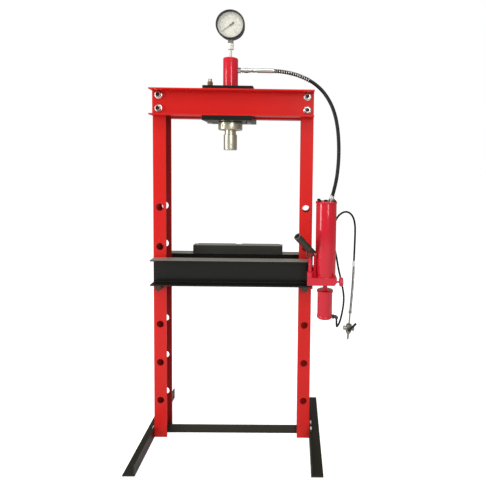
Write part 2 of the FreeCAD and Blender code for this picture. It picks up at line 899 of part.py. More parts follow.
# ---------------------------------------------------------------- hydraulic hose
size("coupler_end", 77, "end of the hose coupler, across the frame")
size("coupler_radius", 11, "hose coupler")
size("coupler_nut", 13, "length of the coupler's hexagon")
size("hose_radius", 7.75, "hydraulic hose")
size("ferrule_radius", 10, "crimped ferrule")
size("guard_radius", 10.5, "spring round the hose")
size("sleeve_slack", 0.1, "round a hose in its sleeve")

HOSE_ROUTE = [
    (77, 0, 1656),
    (150, 0, 1656),
    (196, -1, 1655),
    (246, -5, 1647),
    (296, -11, 1631),
    (344, -19, 1606),
    (388, -31, 1567),
    (422, -45, 1514),
    (443, -58, 1455),
    (454, -67, 1390),
    (458, -74, 1324),
    (457, -80, 1258),
    (451, -85, 1195),
    (441, -89, 1145),
    (432, -91, 1112),
]
coupler_spot = ("head_x + barrel_radius", "0", "hose_port_height")
node(
    "hose_coupler",
    join(
        "coupler",
        hexagon("coupler_hex", coupler_spot, "2 * coupler_radius", "coupler_nut", "x"),
        rod(
            "coupler_spigot",
            ("head_x + bore_radius + 1", "0", "hose_port_height"),
            "hose_port_radius - thread_slack",
            "barrel_radius - bore_radius + 3",
            "x",
        ),
        rod("coupler_body", coupler_spot, "coupler_radius - 1.5", "coupler_end - head_x - barrel_radius", "x"),
        rod("coupler_sleeve", ("coupler_end - 30", "0", "hose_port_height"), "coupler_radius", "22", "x"),
    ),
)
print("hydraulic hose")
hose_edges = route_edges(HOSE_ROUTE)
hose_radius = named["hose_radius"]
bore = hose_radius + named["sleeve_slack"]
cord_piece("hydraulic_hose", tube(hose_edges, hose_radius))
FERRULE_EDGES = slice(0, 2)
GUARD_EDGES = slice(2, 10)
for label, part, outer in (
    ("hydraulic_ferrule", FERRULE_EDGES, named["ferrule_radius"]),
    ("hydraulic_guard", GUARD_EDGES, named["guard_radius"]),
):
    cord_piece(label, tube(hose_edges[part], outer).cut(tube(hose_edges[part], bore)))
print("  length %.0f mm" % sum(edge.Length for edge in hose_edges))


# ---------------------------------------------------------------- pump base and bracket
size("pump_out", 57, "the reservoir's axis beyond the upright's outer face")
derive("pump_x", "frame_width / 2 + pump_out")
size("pump_y", -92, "the reservoir's axis, front to back")
size("base_in", 12, "left end of the pump's base past the plunger's axis")
size("base_out", 46, "right end of the pump's base past the reservoir's axis")
derive("base_right", "pump_x + base_out")
size("base_low", 737, "underside of the pump's base")
size("base_height", 32, "height of the pump's base")
size("base_depth", 88, "front to back of the pump's base")
size("base_chamfer", 9, "its lower right edge")
size("arm_back", 43, "front to back of the arm that carries the plunger")
size("arm_out", 12, "right end of that arm beyond the upright's outer face")
derive("arm_end", "frame_width / 2 + arm_out")
size("fulcrum_out", 3.4, "the lever's fulcrum beyond the upright's outer face")
size("fulcrum_y", -109.75, "the lever's fulcrum, front to back")
size("lever_arm", 17.5, "fulcrum to the plunger's axis")
LEVER_HEADING = 220
derive("plunger_x", "frame_width / 2 + fulcrum_out + lever_arm * cos(%d deg)" % LEVER_HEADING)
derive("plunger_y", "fulcrum_y + lever_arm * sin(%d deg)" % LEVER_HEADING)
derive("base_left", "plunger_x - base_in")
size("plunger_radius", 8, "hand plunger")
size("gland_radius", 13, "boss round the plunger")
size("gland_rise", 24, "height of that boss")
size("knob_y", -124, "release screw's axis")
size("knob_height", 751, "release screw's axis above the floor")
size("screw_radius", 4, "release screw")
size("screw_depth", 15, "release screw inside the base")
size("piston_rod_radius", 5, "rod of the air motor")
size("bracket_low", 692, "bottom of the bracket's leg on the upright")
size("bracket_top", 790, "top of the bracket")
size("bracket_out", 94, "right end of the bracket beyond the upright's outer face")
derive("bracket_right", "frame_width / 2 + bracket_out")
size("mount_bolt_out", 30, "left bolt of the pump's base beyond the upright's outer face")
derive("mount_bolt_left", "frame_width / 2 + mount_bolt_out")
size("mount_bolt_pitch", 48, "between the base's two bolts")
size("mount_bolt_depth", 20, "thread inside the base")

base_front = "(pump_y - base_depth / 2)"
base_back = "(pump_y + base_depth / 2)"
base_top = "(base_low + base_height)"
base_middle = "(base_low + base_height / 2)"
blank = padded(
    "base_blank",
    "XZ_Plane",
    [
        ("base_left", "base_low"),
        ("base_right - base_chamfer", "base_low"),
        ("base_right", "base_low + 1.5 * base_chamfer"),
        ("base_right", base_top),
        ("base_left", base_top),
    ],
    "base_depth",
)
place(blank, ("0", "pump_y", "0"))
notch = box(
    "base_notch",
    ("base_left - 1", "%s + arm_back" % base_front, "base_low - 1"),
    ("arm_end - base_left + 1", "base_depth - arm_back + 1", "base_height + 2"),
)
boss = rod("base_boss", ("plunger_x", "plunger_y", base_top), "gland_radius", "gland_rise")
plunger_bore = rod(
    "base_plunger_bore", ("plunger_x", "plunger_y", "base_low + 4"), "plunger_radius + slide_slack", "80"
)
screw_bore = rod(
    "base_screw_bore", ("base_right - screw_depth - 1", "knob_y", "knob_height"), "screw_radius + slide_slack", "40", "x"
)
motor_bore = rod(
    "base_motor_bore", ("pump_x", "pump_y", "base_low - 1"), "piston_rod_radius + slide_slack", "base_height - 3"
)
mount_bores = [
    rod(
        "base_mount_bore_%d" % i,
        ("mount_bolt_left + %d * mount_bolt_pitch" % i, base_back + " - mount_bolt_depth - 2", base_middle),
        "anchor_radius + thread_slack",
        "40",
        "y",
    )
    for i in range(2)
]
node(
    "pump_base",
    cut("base", join("base_solid", cut("base_shaped", blank, notch), boss), plunger_bore, screw_bore, motor_bore, *mount_bores),
)

leg_back = "(upright_depth / 2 - 1)"
bracket_leg = box(
    "bracket_leg",
    ("frame_width / 2", base_back, "bracket_low"),
    ("bracket_wall", "%s - %s" % (leg_back, base_back), "bracket_top - bracket_low"),
)
bracket_wing = box(
    "bracket_wing",
    ("frame_width / 2", base_back, "base_low"),
    ("bracket_right - frame_width / 2", "bracket_wall", "bracket_top - base_low"),
)
bracket_drills = [
    rod(
        "bracket_web_hole_%d" % i,
        ("frame_width / 2 - 1", "0", height),
        "anchor_radius + bolt_slack",
        "bracket_wall + 2",
        "x",
    )
    for i, height in enumerate(("bracket_bolt_low", "bracket_bolt_low + bracket_bolt_pitch"))
]
for i in range(2):
    spot = "mount_bolt_left + %d * mount_bolt_pitch" % i
    bracket_drills.append(
        rod(
            "bracket_base_hole_%d" % i,
            (spot, base_back + " - 1", base_middle),
            "anchor_radius + bolt_slack",
            "bracket_wall + 2",
            "y",
        )
    )
    anchors += anchor(
        "_mount_%d" % i,
        base_back + " + bracket_wall",
        "y",
        "-y",
        (spot, base_middle),
        "bracket_wall + mount_bolt_depth",
        nut=False,
    )
node("pump_bracket", cut("bracket", join("bracket_plates", bracket_leg, bracket_wing), *bracket_drills))
node("anchor_bolts", group("anchors", *anchors))


# ---------------------------------------------------------------- reservoir
size("tank_radius", 43.7, "reservoir")
size("tank_wall", 3, "reservoir")
size("tank_top", 1081, "top of the reservoir's tube")
size("cap_thick", 8, "reservoir cap")
size("cap_radius", 46, "reservoir cap")
size("cap_spigot", 10, "cap inside the tube")
size("cap_bolt_line", 40.5, "cap bolts from the axis")
size("cap_bolt_flats", 14, "cap bolt heads, across the flats")
size("cap_bolt_head", 8, "height of the cap bolts' heads")
size("plug_radius", 7, "filler plug")
size("plug_height", 6, "filler plug")
size("fitting_radius", 10, "hose fitting on the cap")
size("fitting_height", 10, "straight part of that fitting")

cap_low = "tank_top"
cap_top = "(tank_top + cap_thick)"
node(
    "reservoir_tube",
    turned(
        "tank",
        [
            ("tank_radius - tank_wall", base_top),
            ("tank_radius", base_top),
            ("tank_radius", "tank_top"),
            ("tank_radius - tank_wall", "tank_top"),
        ],
        ("pump_x", "pump_y", "0"),
    ),
)
node(
    "reservoir_cap",
    turned(
        "cap",
        [
            ("0", cap_low + " - cap_spigot"),
            ("tank_radius - tank_wall - thread_slack", cap_low + " - cap_spigot"),
            ("tank_radius - tank_wall - thread_slack", cap_low),
            ("cap_radius", cap_low),
            ("cap_radius", cap_top + " - 2"),
            ("cap_radius - 2", cap_top),
            ("0", cap_top),
        ],
        ("pump_x", "pump_y", "0"),
    ),
)
cap_bolts = []
for i, angle in enumerate((40, 140, 220, 320)):
    spot = (
        "pump_x + cap_bolt_line * cos(%d deg)" % angle,
        "pump_y + cap_bolt_line * sin(%d deg)" % angle,
        cap_top,
    )
    cap_bolts.append(hexagon("cap_bolt_%d" % i, spot, "cap_bolt_flats", "cap_bolt_head"))
node("cap_bolts", group("cap_bolt_heads", *cap_bolts))
node("filler_plug", hexagon("plug", ("pump_x - 2", "pump_y + 6", cap_top), "2 * plug_radius", "plug_height"))

hose_end = Vector(*HOSE_ROUTE[-1])
last_run = (hose_end - Vector(*HOSE_ROUTE[-2])).normalize()
neck = doc.addObject("Part::Cylinder", "fitting_neck")
neck.Placement = Placement(hose_end, Rotation(Vector(0, 0, 1), last_run))
bind(neck, "Radius", "fitting_radius - 1")
neck_length = (hose_end.z - named["tank_top"] - named["cap_thick"] - 6) / -last_run.z
neck.Height = neck_length
fitting_x = hose_end.x + last_run.x * neck_length
fitting_y = hose_end.y + last_run.y * neck_length
node(
    "hose_end_fitting",
    join(
        "end_fitting",
        neck,
        hexagon("fitting_hex", (fitting_x, fitting_y, cap_top), "2 * fitting_radius", "fitting_height"),
    ),
)


# ---------------------------------------------------------------- hand lever and plunger
size("lever_height", 868, "fulcrum above the floor")
size("fulcrum_radius", 5, "fulcrum pin")
size("link_gap", 18, "between the two links")
size("link_thick", 4, "one link")
size("link_width", 12, "one link")
size("ear_gap", 10, "between the lever's ears")
size("ear_thick", 3.5, "one ear of the lever")
size("eye_width", 9, "plunger's eye, between the ears")
size("eye_radius", 7, "plunger's eye")
size("plunger_pin_radius", 4, "pin in the plunger's eye")
size("slot_half", 5.4, "half the width of the slot that the pin runs in")
size("socket_radius", 15, "handle socket")
size("socket_bore", 12, "where the loose handle goes")
size("socket_start", 40, "start of the socket from the fulcrum")
size("socket_end", 125, "mouth of the socket from the fulcrum")
size("socket_depth", 75, "depth of its bore")

LEVER_LIFT = 42.5
heading = Rotation(Vector(0, 0, 1), LEVER_HEADING)
fulcrum = ("frame_width / 2 + fulcrum_out", "fulcrum_y", "lever_height")


def at_fulcrum(label, thing):
    """Places a piece that is drawn with the fulcrum at its origin and the plunger along its +X."""
    thing.Placement = Placement(Vector(), heading)
    place(thing, fulcrum)
    return node(label, thing)


links = []
for i, side in enumerate((-1, 1)):
    low = "%d * (link_gap / 2 + link_thick / 2) - link_thick / 2" % side
    strip = box(
        "link_strip_%d" % i,
        ("-link_width / 2", low, "%s - lever_height" % base_top),
        ("link_width", "link_thick", "lever_height - %s" % base_top),
    )
    top = rod("link_top_%d" % i, ("0", low, "0"), "link_width / 2", "link_thick", "y")
    hole = rod("link_hole_%d" % i, ("0", low + " - 1", "0"), "fulcrum_radius + thread_slack", "link_thick + 2", "y")
    links.append(cut("link_%d" % i, join("link_solid_%d" % i, strip, top), hole))
at_fulcrum("handle_links", group("links", *links))
pin_half = "(link_gap / 2 + link_thick + 3)"
at_fulcrum(
    "handle_pin",
    join(
        "fulcrum_pin",
        rod("fulcrum_bar", ("0", "-" + pin_half, "0"), "fulcrum_radius", "2 * " + pin_half, "y"),
        rod("fulcrum_head", ("0", "-" + pin_half, "0"), "fulcrum_radius + 2", "2.5", "y"),
    ),
)

lift = Rotation(Vector(0, 1, 0), 90 - LEVER_LIFT)
along = "(socket_start + 8)"
ears = []
for i, side in enumerate((-1, 1)):
    low = "%d * (ear_gap / 2 + ear_thick / 2) - ear_thick / 2" % side
    hub = rod("ear_hub_%d" % i, ("0", low, "0"), "link_width / 2 + 3", "ear_thick", "y")
    flat = box("ear_flat_%d" % i, ("0", low, "-slot_half - 5"), ("lever_arm + 14", "ear_thick", "2 * slot_half + 10"))
    rising = doc.addObject("Part::Box", "ear_rising_%d" % i)
    rising.Placement = Placement(Vector(), lift)
    bind(rising, "Length", "22")
    bind(rising, "Width", "ear_thick")
    bind(rising, "Height", along)
    place(rising, ("-11 * cos(%g deg)" % (90 - LEVER_LIFT), low, "11 * sin(%g deg)" % (90 - LEVER_LIFT)))
    ears.append(join("ear_%d" % i, hub, flat, rising))
socket = doc.addObject("Part::Cylinder", "socket_bar")
socket.Placement = Placement(Vector(), lift)
bind(socket, "Radius", "socket_radius")
bind(socket, "Height", "socket_end - socket_start")
place(socket, ("socket_start * cos(%g deg)" % LEVER_LIFT, "0", "socket_start * sin(%g deg)" % LEVER_LIFT))
socket_hole = doc.addObject("Part::Cylinder", "socket_hole")
socket_hole.Placement = Placement(Vector(), lift)
bind(socket_hole, "Radius", "socket_bore")
bind(socket_hole, "Height", "socket_depth + 1")
place(
    socket_hole,
    (
        "(socket_end - socket_depth) * cos(%g deg)" % LEVER_LIFT,
        "0",
        "(socket_end - socket_depth) * sin(%g deg)" % LEVER_LIFT,
    ),
)
hub_bar = rod(
    "hub_bar", ("0", "-ear_gap / 2 - ear_thick", "0"), "fulcrum_radius + 3.5", "ear_gap + 2 * ear_thick", "y"
)
hub_bore = rod("hub_bore", ("0", "-20", "0"), "fulcrum_radius + slide_slack", "40", "y")
slot = box(
    "pin_slot",
    ("lever_arm - 3 - plunger_pin_radius", "-20", "-slot_half"),
    ("2 * plunger_pin_radius + 8", "40", "2 * slot_half"),
)
lever = cut("lever", join("lever_solid", *ears, socket, hub_bar), hub_bore, socket_hole, slot)
at_fulcrum("handle_socket", lever)

eye_low = "(base_low + 18 - lever_height)"
plunger = join(
    "plunger_solid",
    rod("plunger_rod", ("lever_arm", "0", eye_low), "plunger_radius", "-eye_radius - 12 - " + eye_low),
    rod("plunger_neck", ("lever_arm", "0", "-eye_radius - 12"), "eye_width / 2 - 0.6", "eye_radius + 8"),
    rod("plunger_eye", ("lever_arm", "-eye_width / 2", "0"), "eye_radius", "eye_width", "y"),
    rod(
        "plunger_pin",
        ("lever_arm", "-ear_gap / 2 - ear_thick", "0"),
        "plunger_pin_radius",
        "ear_gap + 2 * ear_thick",
        "y",
    ),
)
at_fulcrum("pump_plunger", plunger)


# ---------------------------------------------------------------- release screw
size("knob_radius", 19, "release knob")
size("knob_thick", 16, "release knob")
size("knob_out", 11, "inner face of the knob past the pump's base")
derive("knob_start", "base_right + knob_out")

knob_spot = ("knob_start", "knob_y", "knob_height")
node(
    "release_knob",
    join(
        "release_screw",
        rod("screw_stem", ("base_right - screw_depth", "knob_y", "knob_height"), "screw_radius", "knob_start - base_right + screw_depth + 2", "x"),
        rod("knob_disc", knob_spot, "knob_radius", "knob_thick", "x"),
    ),
)


# ---------------------------------------------------------------- air motor
size("neck_radius", 9.5, "neck between the air motor and the base")
size("motor_top", 705, "top of the air motor")
size("motor_radius", 32, "air motor's barrel")
size("motor_wall", 4, "air motor's barrel")
size("motor_flange_radius", 35.5, "its top flange")
size("motor_flange", 8, "its top flange")
size("motor_low", 598, "lower end of the barrel")
size("motor_cap_radius", 33.5, "end cap")
size("motor_cap", 14, "end cap")
size("motor_piston_low", 612, "underside of the air piston at rest")
size("motor_piston", 14, "height of the air piston")
size("motor_rod_top", 744, "top of the air piston's rod at rest")
size("elbow_out", 52, "upright leg of the air elbow past the reservoir's axis")
derive("elbow_x", "pump_x + elbow_out")
size("elbow_height", 588, "level leg of the air elbow")
size("elbow_radius", 7, "air elbow")
size("elbow_mouth", 580, "lower end of the air elbow")

node(
    "air_motor_barrel",
    turned(
        "motor",
        [
            ("motor_radius - motor_wall", "motor_low"),
            ("motor_radius", "motor_low"),
            ("motor_radius", "motor_top - motor_flange"),
            ("motor_flange_radius", "motor_top - motor_flange + 2"),
            ("motor_flange_radius", "motor_top"),
            ("neck_radius", "motor_top"),
            ("neck_radius", "base_low"),
            ("piston_rod_radius + slide_slack", "base_low"),
            ("piston_rod_radius + slide_slack", "motor_top - motor_flange"),
            ("motor_radius - motor_wall", "motor_top - motor_flange"),
        ],
        ("pump_x", "pump_y", "0"),
    ),
)
node(
    "air_motor_cap",
    turned(
        "motor_end",
        [
            ("0", "motor_low - motor_cap"),
            ("motor_cap_radius - 3", "motor_low - motor_cap"),
            ("motor_cap_radius", "motor_low - motor_cap + 3"),
            ("motor_cap_radius", "motor_low"),
            ("motor_radius - motor_wall - thread_slack", "motor_low"),
            ("motor_radius - motor_wall - thread_slack", "motor_low + 6"),
            ("0", "motor_low + 6"),
        ],
        ("pump_x", "pump_y", "0"),
    ),
)
node(
    "air_piston",
    turned(
        "motor_piston_turned",
        [
            ("0", "motor_piston_low"),
            ("motor_radius - motor_wall - slide_slack", "motor_piston_low"),
            ("motor_radius - motor_wall - slide_slack", "motor_piston_low + motor_piston"),
            ("piston_rod_radius", "motor_piston_low + motor_piston"),
            ("piston_rod_radius", "motor_rod_top"),
            ("0", "motor_rod_top"),
        ],
        ("pump_x", "pump_y", "0"),
    ),
)
elbow_start = "(pump_x + motor_cap_radius)"
node(
    "air_elbow",
    join(
        "elbow",
        rod("elbow_level", (elbow_start, "pump_y", "elbow_height"), "elbow_radius", "elbow_x - %s" % elbow_start, "x"),
        rod("elbow_upright", ("elbow_x", "pump_y", "elbow_mouth"), "elbow_radius", "elbow_height - elbow_mouth"),
        hexagon(
            "elbow_nut", (elbow_start, "pump_y", "elbow_height"), "2 * elbow_radius + 3", "7", "x"
        ),
    ),
)


# ---------------------------------------------------------------- air hose, its clip and its valve
size("air_radius", 4.3, "air hose")
size("air_ferrule_radius", 6.5, "white collar on the air hose")
size("air_guard_radius", 6.6, "spring round the air hose")
size("clip_radius", 7.8, "hose clip")
size("clip_height", 10, "hose clip")
size("clip_slack", 1.7, "round the air hose in its clip")

AIR_ROUTE = [
    (459, -92, 580),
    (459, -92, 547),
    (466, -64, 530),
    (481, -38, 541),
    (491, -31, 579),
    (497, -32, 620),
    (497, -37, 660),
    (489, -42, 702),
    (479, -44, 745),
    (468, -45, 790),
    (460, -47, 835),
    (449, -50, 880),
    (443, -51, 923),
    (443, -49, 962),
    (452, -45, 1001),
    (473, -41, 1030),
    (503, -39, 1041),
    (529, -39, 1022),
    (540, -40, 985),
    (541, -40, 938),
    (540, -40, 892),
    (539, -40, 848),
    (538, -40, 807),
    (537, -41, 777),
    (535, -40, 725),
    (532, -41, 672),
    (529, -40, 630),
    (526, -41, 592),
]
print("air hose")
air_edges = route_edges(AIR_ROUTE)
air_radius = named["air_radius"]
bore = air_radius + named["sleeve_slack"]
cord_piece("air_hose", tube(air_edges, air_radius))
COLLAR_POINT = AIR_ROUTE.index((538, -40, 807))
COLLAR_EDGES = slice(2 * COLLAR_POINT - 1, 2 * COLLAR_POINT)
AIR_GUARD_EDGES = slice(2 * COLLAR_POINT, 2 * len(AIR_ROUTE))
for label, part, outer in (
    ("air_hose_collar", COLLAR_EDGES, named["air_ferrule_radius"]),
    ("air_hose_guard", AIR_GUARD_EDGES, named["air_guard_radius"]),
):
    cord_piece(label, tube(air_edges[part], outer).cut(tube(air_edges[part], bore)))
print("  length %.0f mm" % sum(edge.Length for edge in air_edges))

CLIP_POINT = 12
clip_x, clip_y, clip_z = AIR_ROUTE[CLIP_POINT]
pump_across = named["frame_width"] / 2 + named["pump_out"]
clip_bearing = math.degrees(math.atan2(clip_y - named["pump_y"], clip_x - pump_across))
clip_reach = math.hypot(clip_x - pump_across, clip_y - named["pump_y"])
stalk = doc.addObject("Part::Cylinder", "clip_stalk")
stalk.Placement = Placement(Vector(), Rotation(Vector(0, 0, 1), clip_bearing) * ALONG["x"])
bind(stalk, "Radius", "clip_height / 2 - 1")
bind(stalk, "Height", "%g - tank_radius + 2" % clip_reach)
place(
    stalk,
    (
        "pump_x + (tank_radius - 2) * cos(%g deg)" % clip_bearing,
        "pump_y + (tank_radius - 2) * sin(%g deg)" % clip_bearing,
        clip_z,
    ),
)
clip_low = "%g - clip_height / 2" % clip_z
clip_ring = rod("clip_outer", (clip_x, clip_y, clip_low), "clip_radius", "clip_height")
clip_bore = rod("clip_inner", (clip_x, clip_y, clip_low + " - 1"), "air_radius + clip_slack", "clip_height + 2")
clip_seat = rod("clip_seat", ("pump_x", "pump_y", clip_low + " - 1"), "tank_radius", "clip_height + 2")
node("hose_clip", cut("clip", join("clip_solid", clip_ring, stalk), clip_bore, clip_seat))

size("stem_length", 60, "thin end fitting of the air hose")
size("stem_radius", 3.5, "thin end fitting")
size("stem_gap", 0.3, "between the hose's guard and that fitting's nut")
size("valve_radius", 12.5, "air valve's body")
size("valve_length", 34, "air valve's body")
size("valve_drop", 6, "spindle boss of the valve")
size("valve_cross", 24, "half the length of the valve's cross barrel")
size("valve_cross_radius", 9, "that cross barrel")
size("valve_cap", 10, "hexagon plug on the cross barrel's end")
size("nipple_length", 34, "air inlet nipple")
size("inlet_radius", 4.5, "air inlet nipple")
size("nipple_flats", 15, "hexagon of the nipple")
size("lever_reach", 42, "valve lever")
size("lever_thick", 2.5, "valve lever")
size("spindle_radius", 3, "valve spindle")

VALVE_TILT = Rotation(Vector(0, 1, 0), 184)
valve_top = Vector(*AIR_ROUTE[-1]) + VALVE_TILT * Vector(0, 0, named["stem_gap"])


def on_valve(label, thing):
    """Places a piece that is drawn along +Z from the air hose's end."""
    thing.Placement = Placement(valve_top, VALVE_TILT)
    return node(label, thing)


valve_low, valve_high = "stem_length", "(stem_length + valve_length)"
valve_middle = "(stem_length + valve_length / 2)"
spindle_out = "(valve_radius + valve_drop)"
on_valve(
    "air_valve_body",
    cut(
        "valve",
        join(
            "valve_solid",
            hexagon("valve_stem_nut", ("0", "0", "0"), "2 * air_ferrule_radius", "9"),
            rod("valve_stem", ("0", "0", "0"), "stem_radius", "stem_length"),
            rod("valve_barrel", ("0", "0", valve_low), "valve_radius", "valve_length"),
            rod("valve_boss", ("0", "0", valve_middle), "valve_radius - 3", spindle_out, "-y"),
            rod("valve_cross_bar", ("-valve_cross", "0", valve_middle), "valve_cross_radius", "2 * valve_cross", "x"),
            hexagon(
                "valve_cross_cap",
                ("-valve_cross", "0", valve_middle),
                "2 * valve_cross_radius + 3",
                "valve_cap",
                "x",
            ),
            hexagon("valve_nipple_hex", ("0", "0", valve_high), "nipple_flats", "9"),
            rod("valve_nipple", ("0", "0", valve_high), "inlet_radius", "nipple_length"),
        ),
        rod("valve_spindle_bore", ("0", "-" + spindle_out + " - 1", valve_middle), "spindle_radius + slide_slack", "13", "y"),
        rod("valve_nipple_bore", ("0", "0", valve_high + " + nipple_length - 20"), "inlet_radius - 2", "21"),
    ),
)
lever_low = "(-%s - 0.4 - lever_thick)" % spindle_out
LEVER_SET = -45
valve_lever = join(
    "valve_lever",
    box("valve_blade", ("0", lever_low, "-5"), ("lever_reach", "lever_thick", "10")),
    rod("valve_lever_hub", ("0", lever_low, "0"), "8", "lever_thick", "y"),
    rod("valve_spindle", ("0", lever_low, "0"), "spindle_radius", "12", "y"),
)
spindle_at = valve_top + VALVE_TILT * Vector(0, 0, named["stem_length"] + named["valve_length"] / 2)
valve_lever.Placement = Placement(spindle_at, Rotation(Vector(0, 1, 0), LEVER_SET))
node("air_valve_lever", valve_lever)


# ---------------------------------------------------------------- bed, pins and press blocks
size("bed_length", 696, "bed channels")
size("bed_height", 113, "bed channels")
size("bed_flange", 50, "bed channels")
size("bed_wall", 6, "bed channels")
size("bed_play", 1, "between the bed and the uprights")
size("rest_gap", 0.3, "under a pin in its hole, and between a pin and the bed")
size("pin_radius", 15, "bed pins")
size("pin_inset", 24, "pin ends inside the edges of the bed's flanges")
size("spacer_x", 282, "middle of a spacer, across the frame")
size("spacer_width", 12, "spacer bars that hold the two channels together")
size("spacer_height", 60, "spacer bars")
size("spacer_low", 14, "spacer bars above the bed's underside")
size("block_length", 206, "press block")
size("block_depth", 44, "press block")
size("block_thick", 40, "press block")
size("block_back", 80, "rear face of the press blocks")
size("block_middle", 11, "where the two press blocks meet")
size("block_gap", 0.6, "between the two press blocks")
size("notch_width", 14, "notches in the press blocks' rear top edges")
size("notch_depth", 10, "those notches")

BED_HOLE = 3
pin_height = "(hole_first + %d * hole_pitch - hole_radius + pin_radius + rest_gap)" % BED_HOLE
bed_low = "(%s + pin_radius + rest_gap)" % pin_height
bed_top = "(%s + bed_height)" % bed_low
bed_inner = "(upright_depth / 2 + bed_play)"
for name, label, side in (("bed_front", "front_bed_channel", -1), ("bed_rear", "rear_bed_channel", 1)):
    section = channel_section(side, bed_inner, "bed_flange", "bed_wall", bed_low, "bed_height")
    node(label, padded(name, "YZ_Plane", section, "bed_length"))
spacers = [
    box(
        "spacer_%d" % i,
        ("%d * spacer_x - spacer_width / 2" % side, "-" + bed_inner, bed_low + " + spacer_low"),
        ("spacer_width", "2 * " + bed_inner, "spacer_height"),
    )
    for i, side in enumerate((-1, 1))
]
node("bed_spacers", group("spacers", *spacers))
pin_half = "(%s + bed_flange - pin_inset)" % bed_inner
for label, side in (("left_bed_pin", -1), ("right_bed_pin", 1)):
    node(
        label,
        rod(
            label + "_bar",
            ("%d * %s" % (side, hole_line), "-" + pin_half, pin_height),
            "pin_radius",
            "2 * " + pin_half,
            "y",
        ),
    )
for label, side, start in (
    ("left_press_block", -1, "block_middle - block_gap / 2 - block_length"),
    ("right_press_block", 1, "block_middle + block_gap / 2"),
):
    blank = box(
        label + "_blank", (start, "block_back - block_depth", bed_top), ("block_length", "block_depth", "block_thick")
    )
    notches = [
        box(
            "%s_notch_%d" % (label, i),
            ("%s + %s" % (start, shift), "block_back - notch_depth", bed_top + " + block_thick - notch_depth"),
            ("notch_width + 1", "notch_depth + 1", "notch_depth + 1"),
        )
        for i, shift in enumerate(("-1", "block_length - notch_width"))
    ]
    node(label, cut(label + "_shape", blank, *notches))


# ---------------------------------------------------------------- checks and files
doc.recompute()
faults = [item.Name for item in doc.Objects if {"Invalid", "Error"} & set(item.State)]
faults += [item.Label for item in nodes if item.Shape.isNull() or not item.Shape.isValid()]
if faults:
    raise ValueError("these objects failed: " + ", ".join(faults))
os.makedirs("parts", exist_ok=True)
for item in nodes:
    item.Shape.exportStep(os.path.join("parts", item.Label + ".step"))
print(len(nodes), "nodes written")
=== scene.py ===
import json
import math

import bmesh
import bpy
import numpy as np
from mathutils import Matrix, Vector


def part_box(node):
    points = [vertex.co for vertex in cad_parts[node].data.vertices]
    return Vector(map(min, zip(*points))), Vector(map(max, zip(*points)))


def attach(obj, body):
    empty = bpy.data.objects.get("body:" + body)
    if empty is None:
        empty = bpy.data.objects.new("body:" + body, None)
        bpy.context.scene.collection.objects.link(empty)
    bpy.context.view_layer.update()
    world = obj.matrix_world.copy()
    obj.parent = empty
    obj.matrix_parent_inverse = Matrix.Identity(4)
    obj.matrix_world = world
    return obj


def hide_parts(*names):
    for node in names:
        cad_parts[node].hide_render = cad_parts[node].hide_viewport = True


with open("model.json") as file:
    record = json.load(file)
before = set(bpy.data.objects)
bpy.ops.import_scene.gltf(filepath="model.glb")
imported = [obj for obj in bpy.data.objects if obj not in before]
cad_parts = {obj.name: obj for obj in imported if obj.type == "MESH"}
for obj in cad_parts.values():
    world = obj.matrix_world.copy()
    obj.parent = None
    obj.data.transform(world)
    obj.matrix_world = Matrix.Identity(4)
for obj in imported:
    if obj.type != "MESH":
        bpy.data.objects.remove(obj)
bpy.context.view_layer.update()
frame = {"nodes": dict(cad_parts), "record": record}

cad_nodes = frame["nodes"]
body_of_node = {n: b for b, names in frame["record"]["behaviour"]["bodies"].items() for n in names}
scene = bpy.context.scene


# ============================================================ camera
# The press is seen from the front at about chest height, a little to the right of its
# middle. The camera is tipped slightly down and its lens is shifted sideways and down.
eye = Vector((0.265933, -1.670984, 1.255554))
yaw, pitch, roll = -0.009, 0.049, -0.013
ahead = Vector((-math.sin(yaw) * math.cos(pitch), math.cos(yaw) * math.cos(pitch), -math.sin(pitch)))
level = Vector((math.cos(yaw), math.sin(yaw), 0.0))
down = ahead.cross(level)
right = math.cos(roll) * level + math.sin(roll) * down
down = -math.sin(roll) * level + math.cos(roll) * down
lens = bpy.data.cameras.new("camera")
lens.sensor_width = 36.0
lens.lens = 372.05 / 486 * 36.0
lens.shift_x = (243 - 297) / 486
lens.shift_y = (180 - 243) / 486
lens.clip_end = 100.0
camera = bpy.data.objects.new("camera", lens)
camera.matrix_world = Matrix.Translation(eye) @ Matrix((right, -down, -ahead)).transposed().to_4x4()
scene.collection.objects.link(camera)
scene.camera = camera


# ============================================================ hydraulic hose
# A rubber hose of about 15 mm runs from the cylinder's coupler over the crossbeam's end and
# down to the reservoir. It is steel braided inside and black outside, so it keeps a wide bow.


def shader(name):
    """A material with one Principled shader; gives back its tree and that shader."""
    material = bpy.data.materials.new(name)
    material.use_nodes = True
    tree = material.node_tree
    return material, tree, tree.nodes["Principled BSDF"]


def effect(name, inputs, outputs):
    """An empty node group with named sockets; each input is (name, kind, value)."""
    group = bpy.data.node_groups.new(name, "ShaderNodeTree")
    for label, kind, value in inputs:
        socket = group.interface.new_socket(label, in_out="INPUT", socket_type="NodeSocket" + kind)
        if value is not None:
            socket.default_value = value
    for label, kind in outputs:
        group.interface.new_socket(label, in_out="OUTPUT", socket_type="NodeSocket" + kind)
    return group, group.nodes.new("NodeGroupInput"), group.nodes.new("NodeGroupOutput")


def put(tree, kind, links=(), **settings):
    """A node in a tree with its settings; links are (socket, value or output)."""
    node = tree.nodes.new(kind)
    for key, value in settings.items():
        setattr(node, key, value)
    for socket, value in links:
        if isinstance(value, bpy.types.NodeSocket):
            tree.links.new(value, node.inputs[socket])
        else:
            node.inputs[socket].default_value = value
    return node


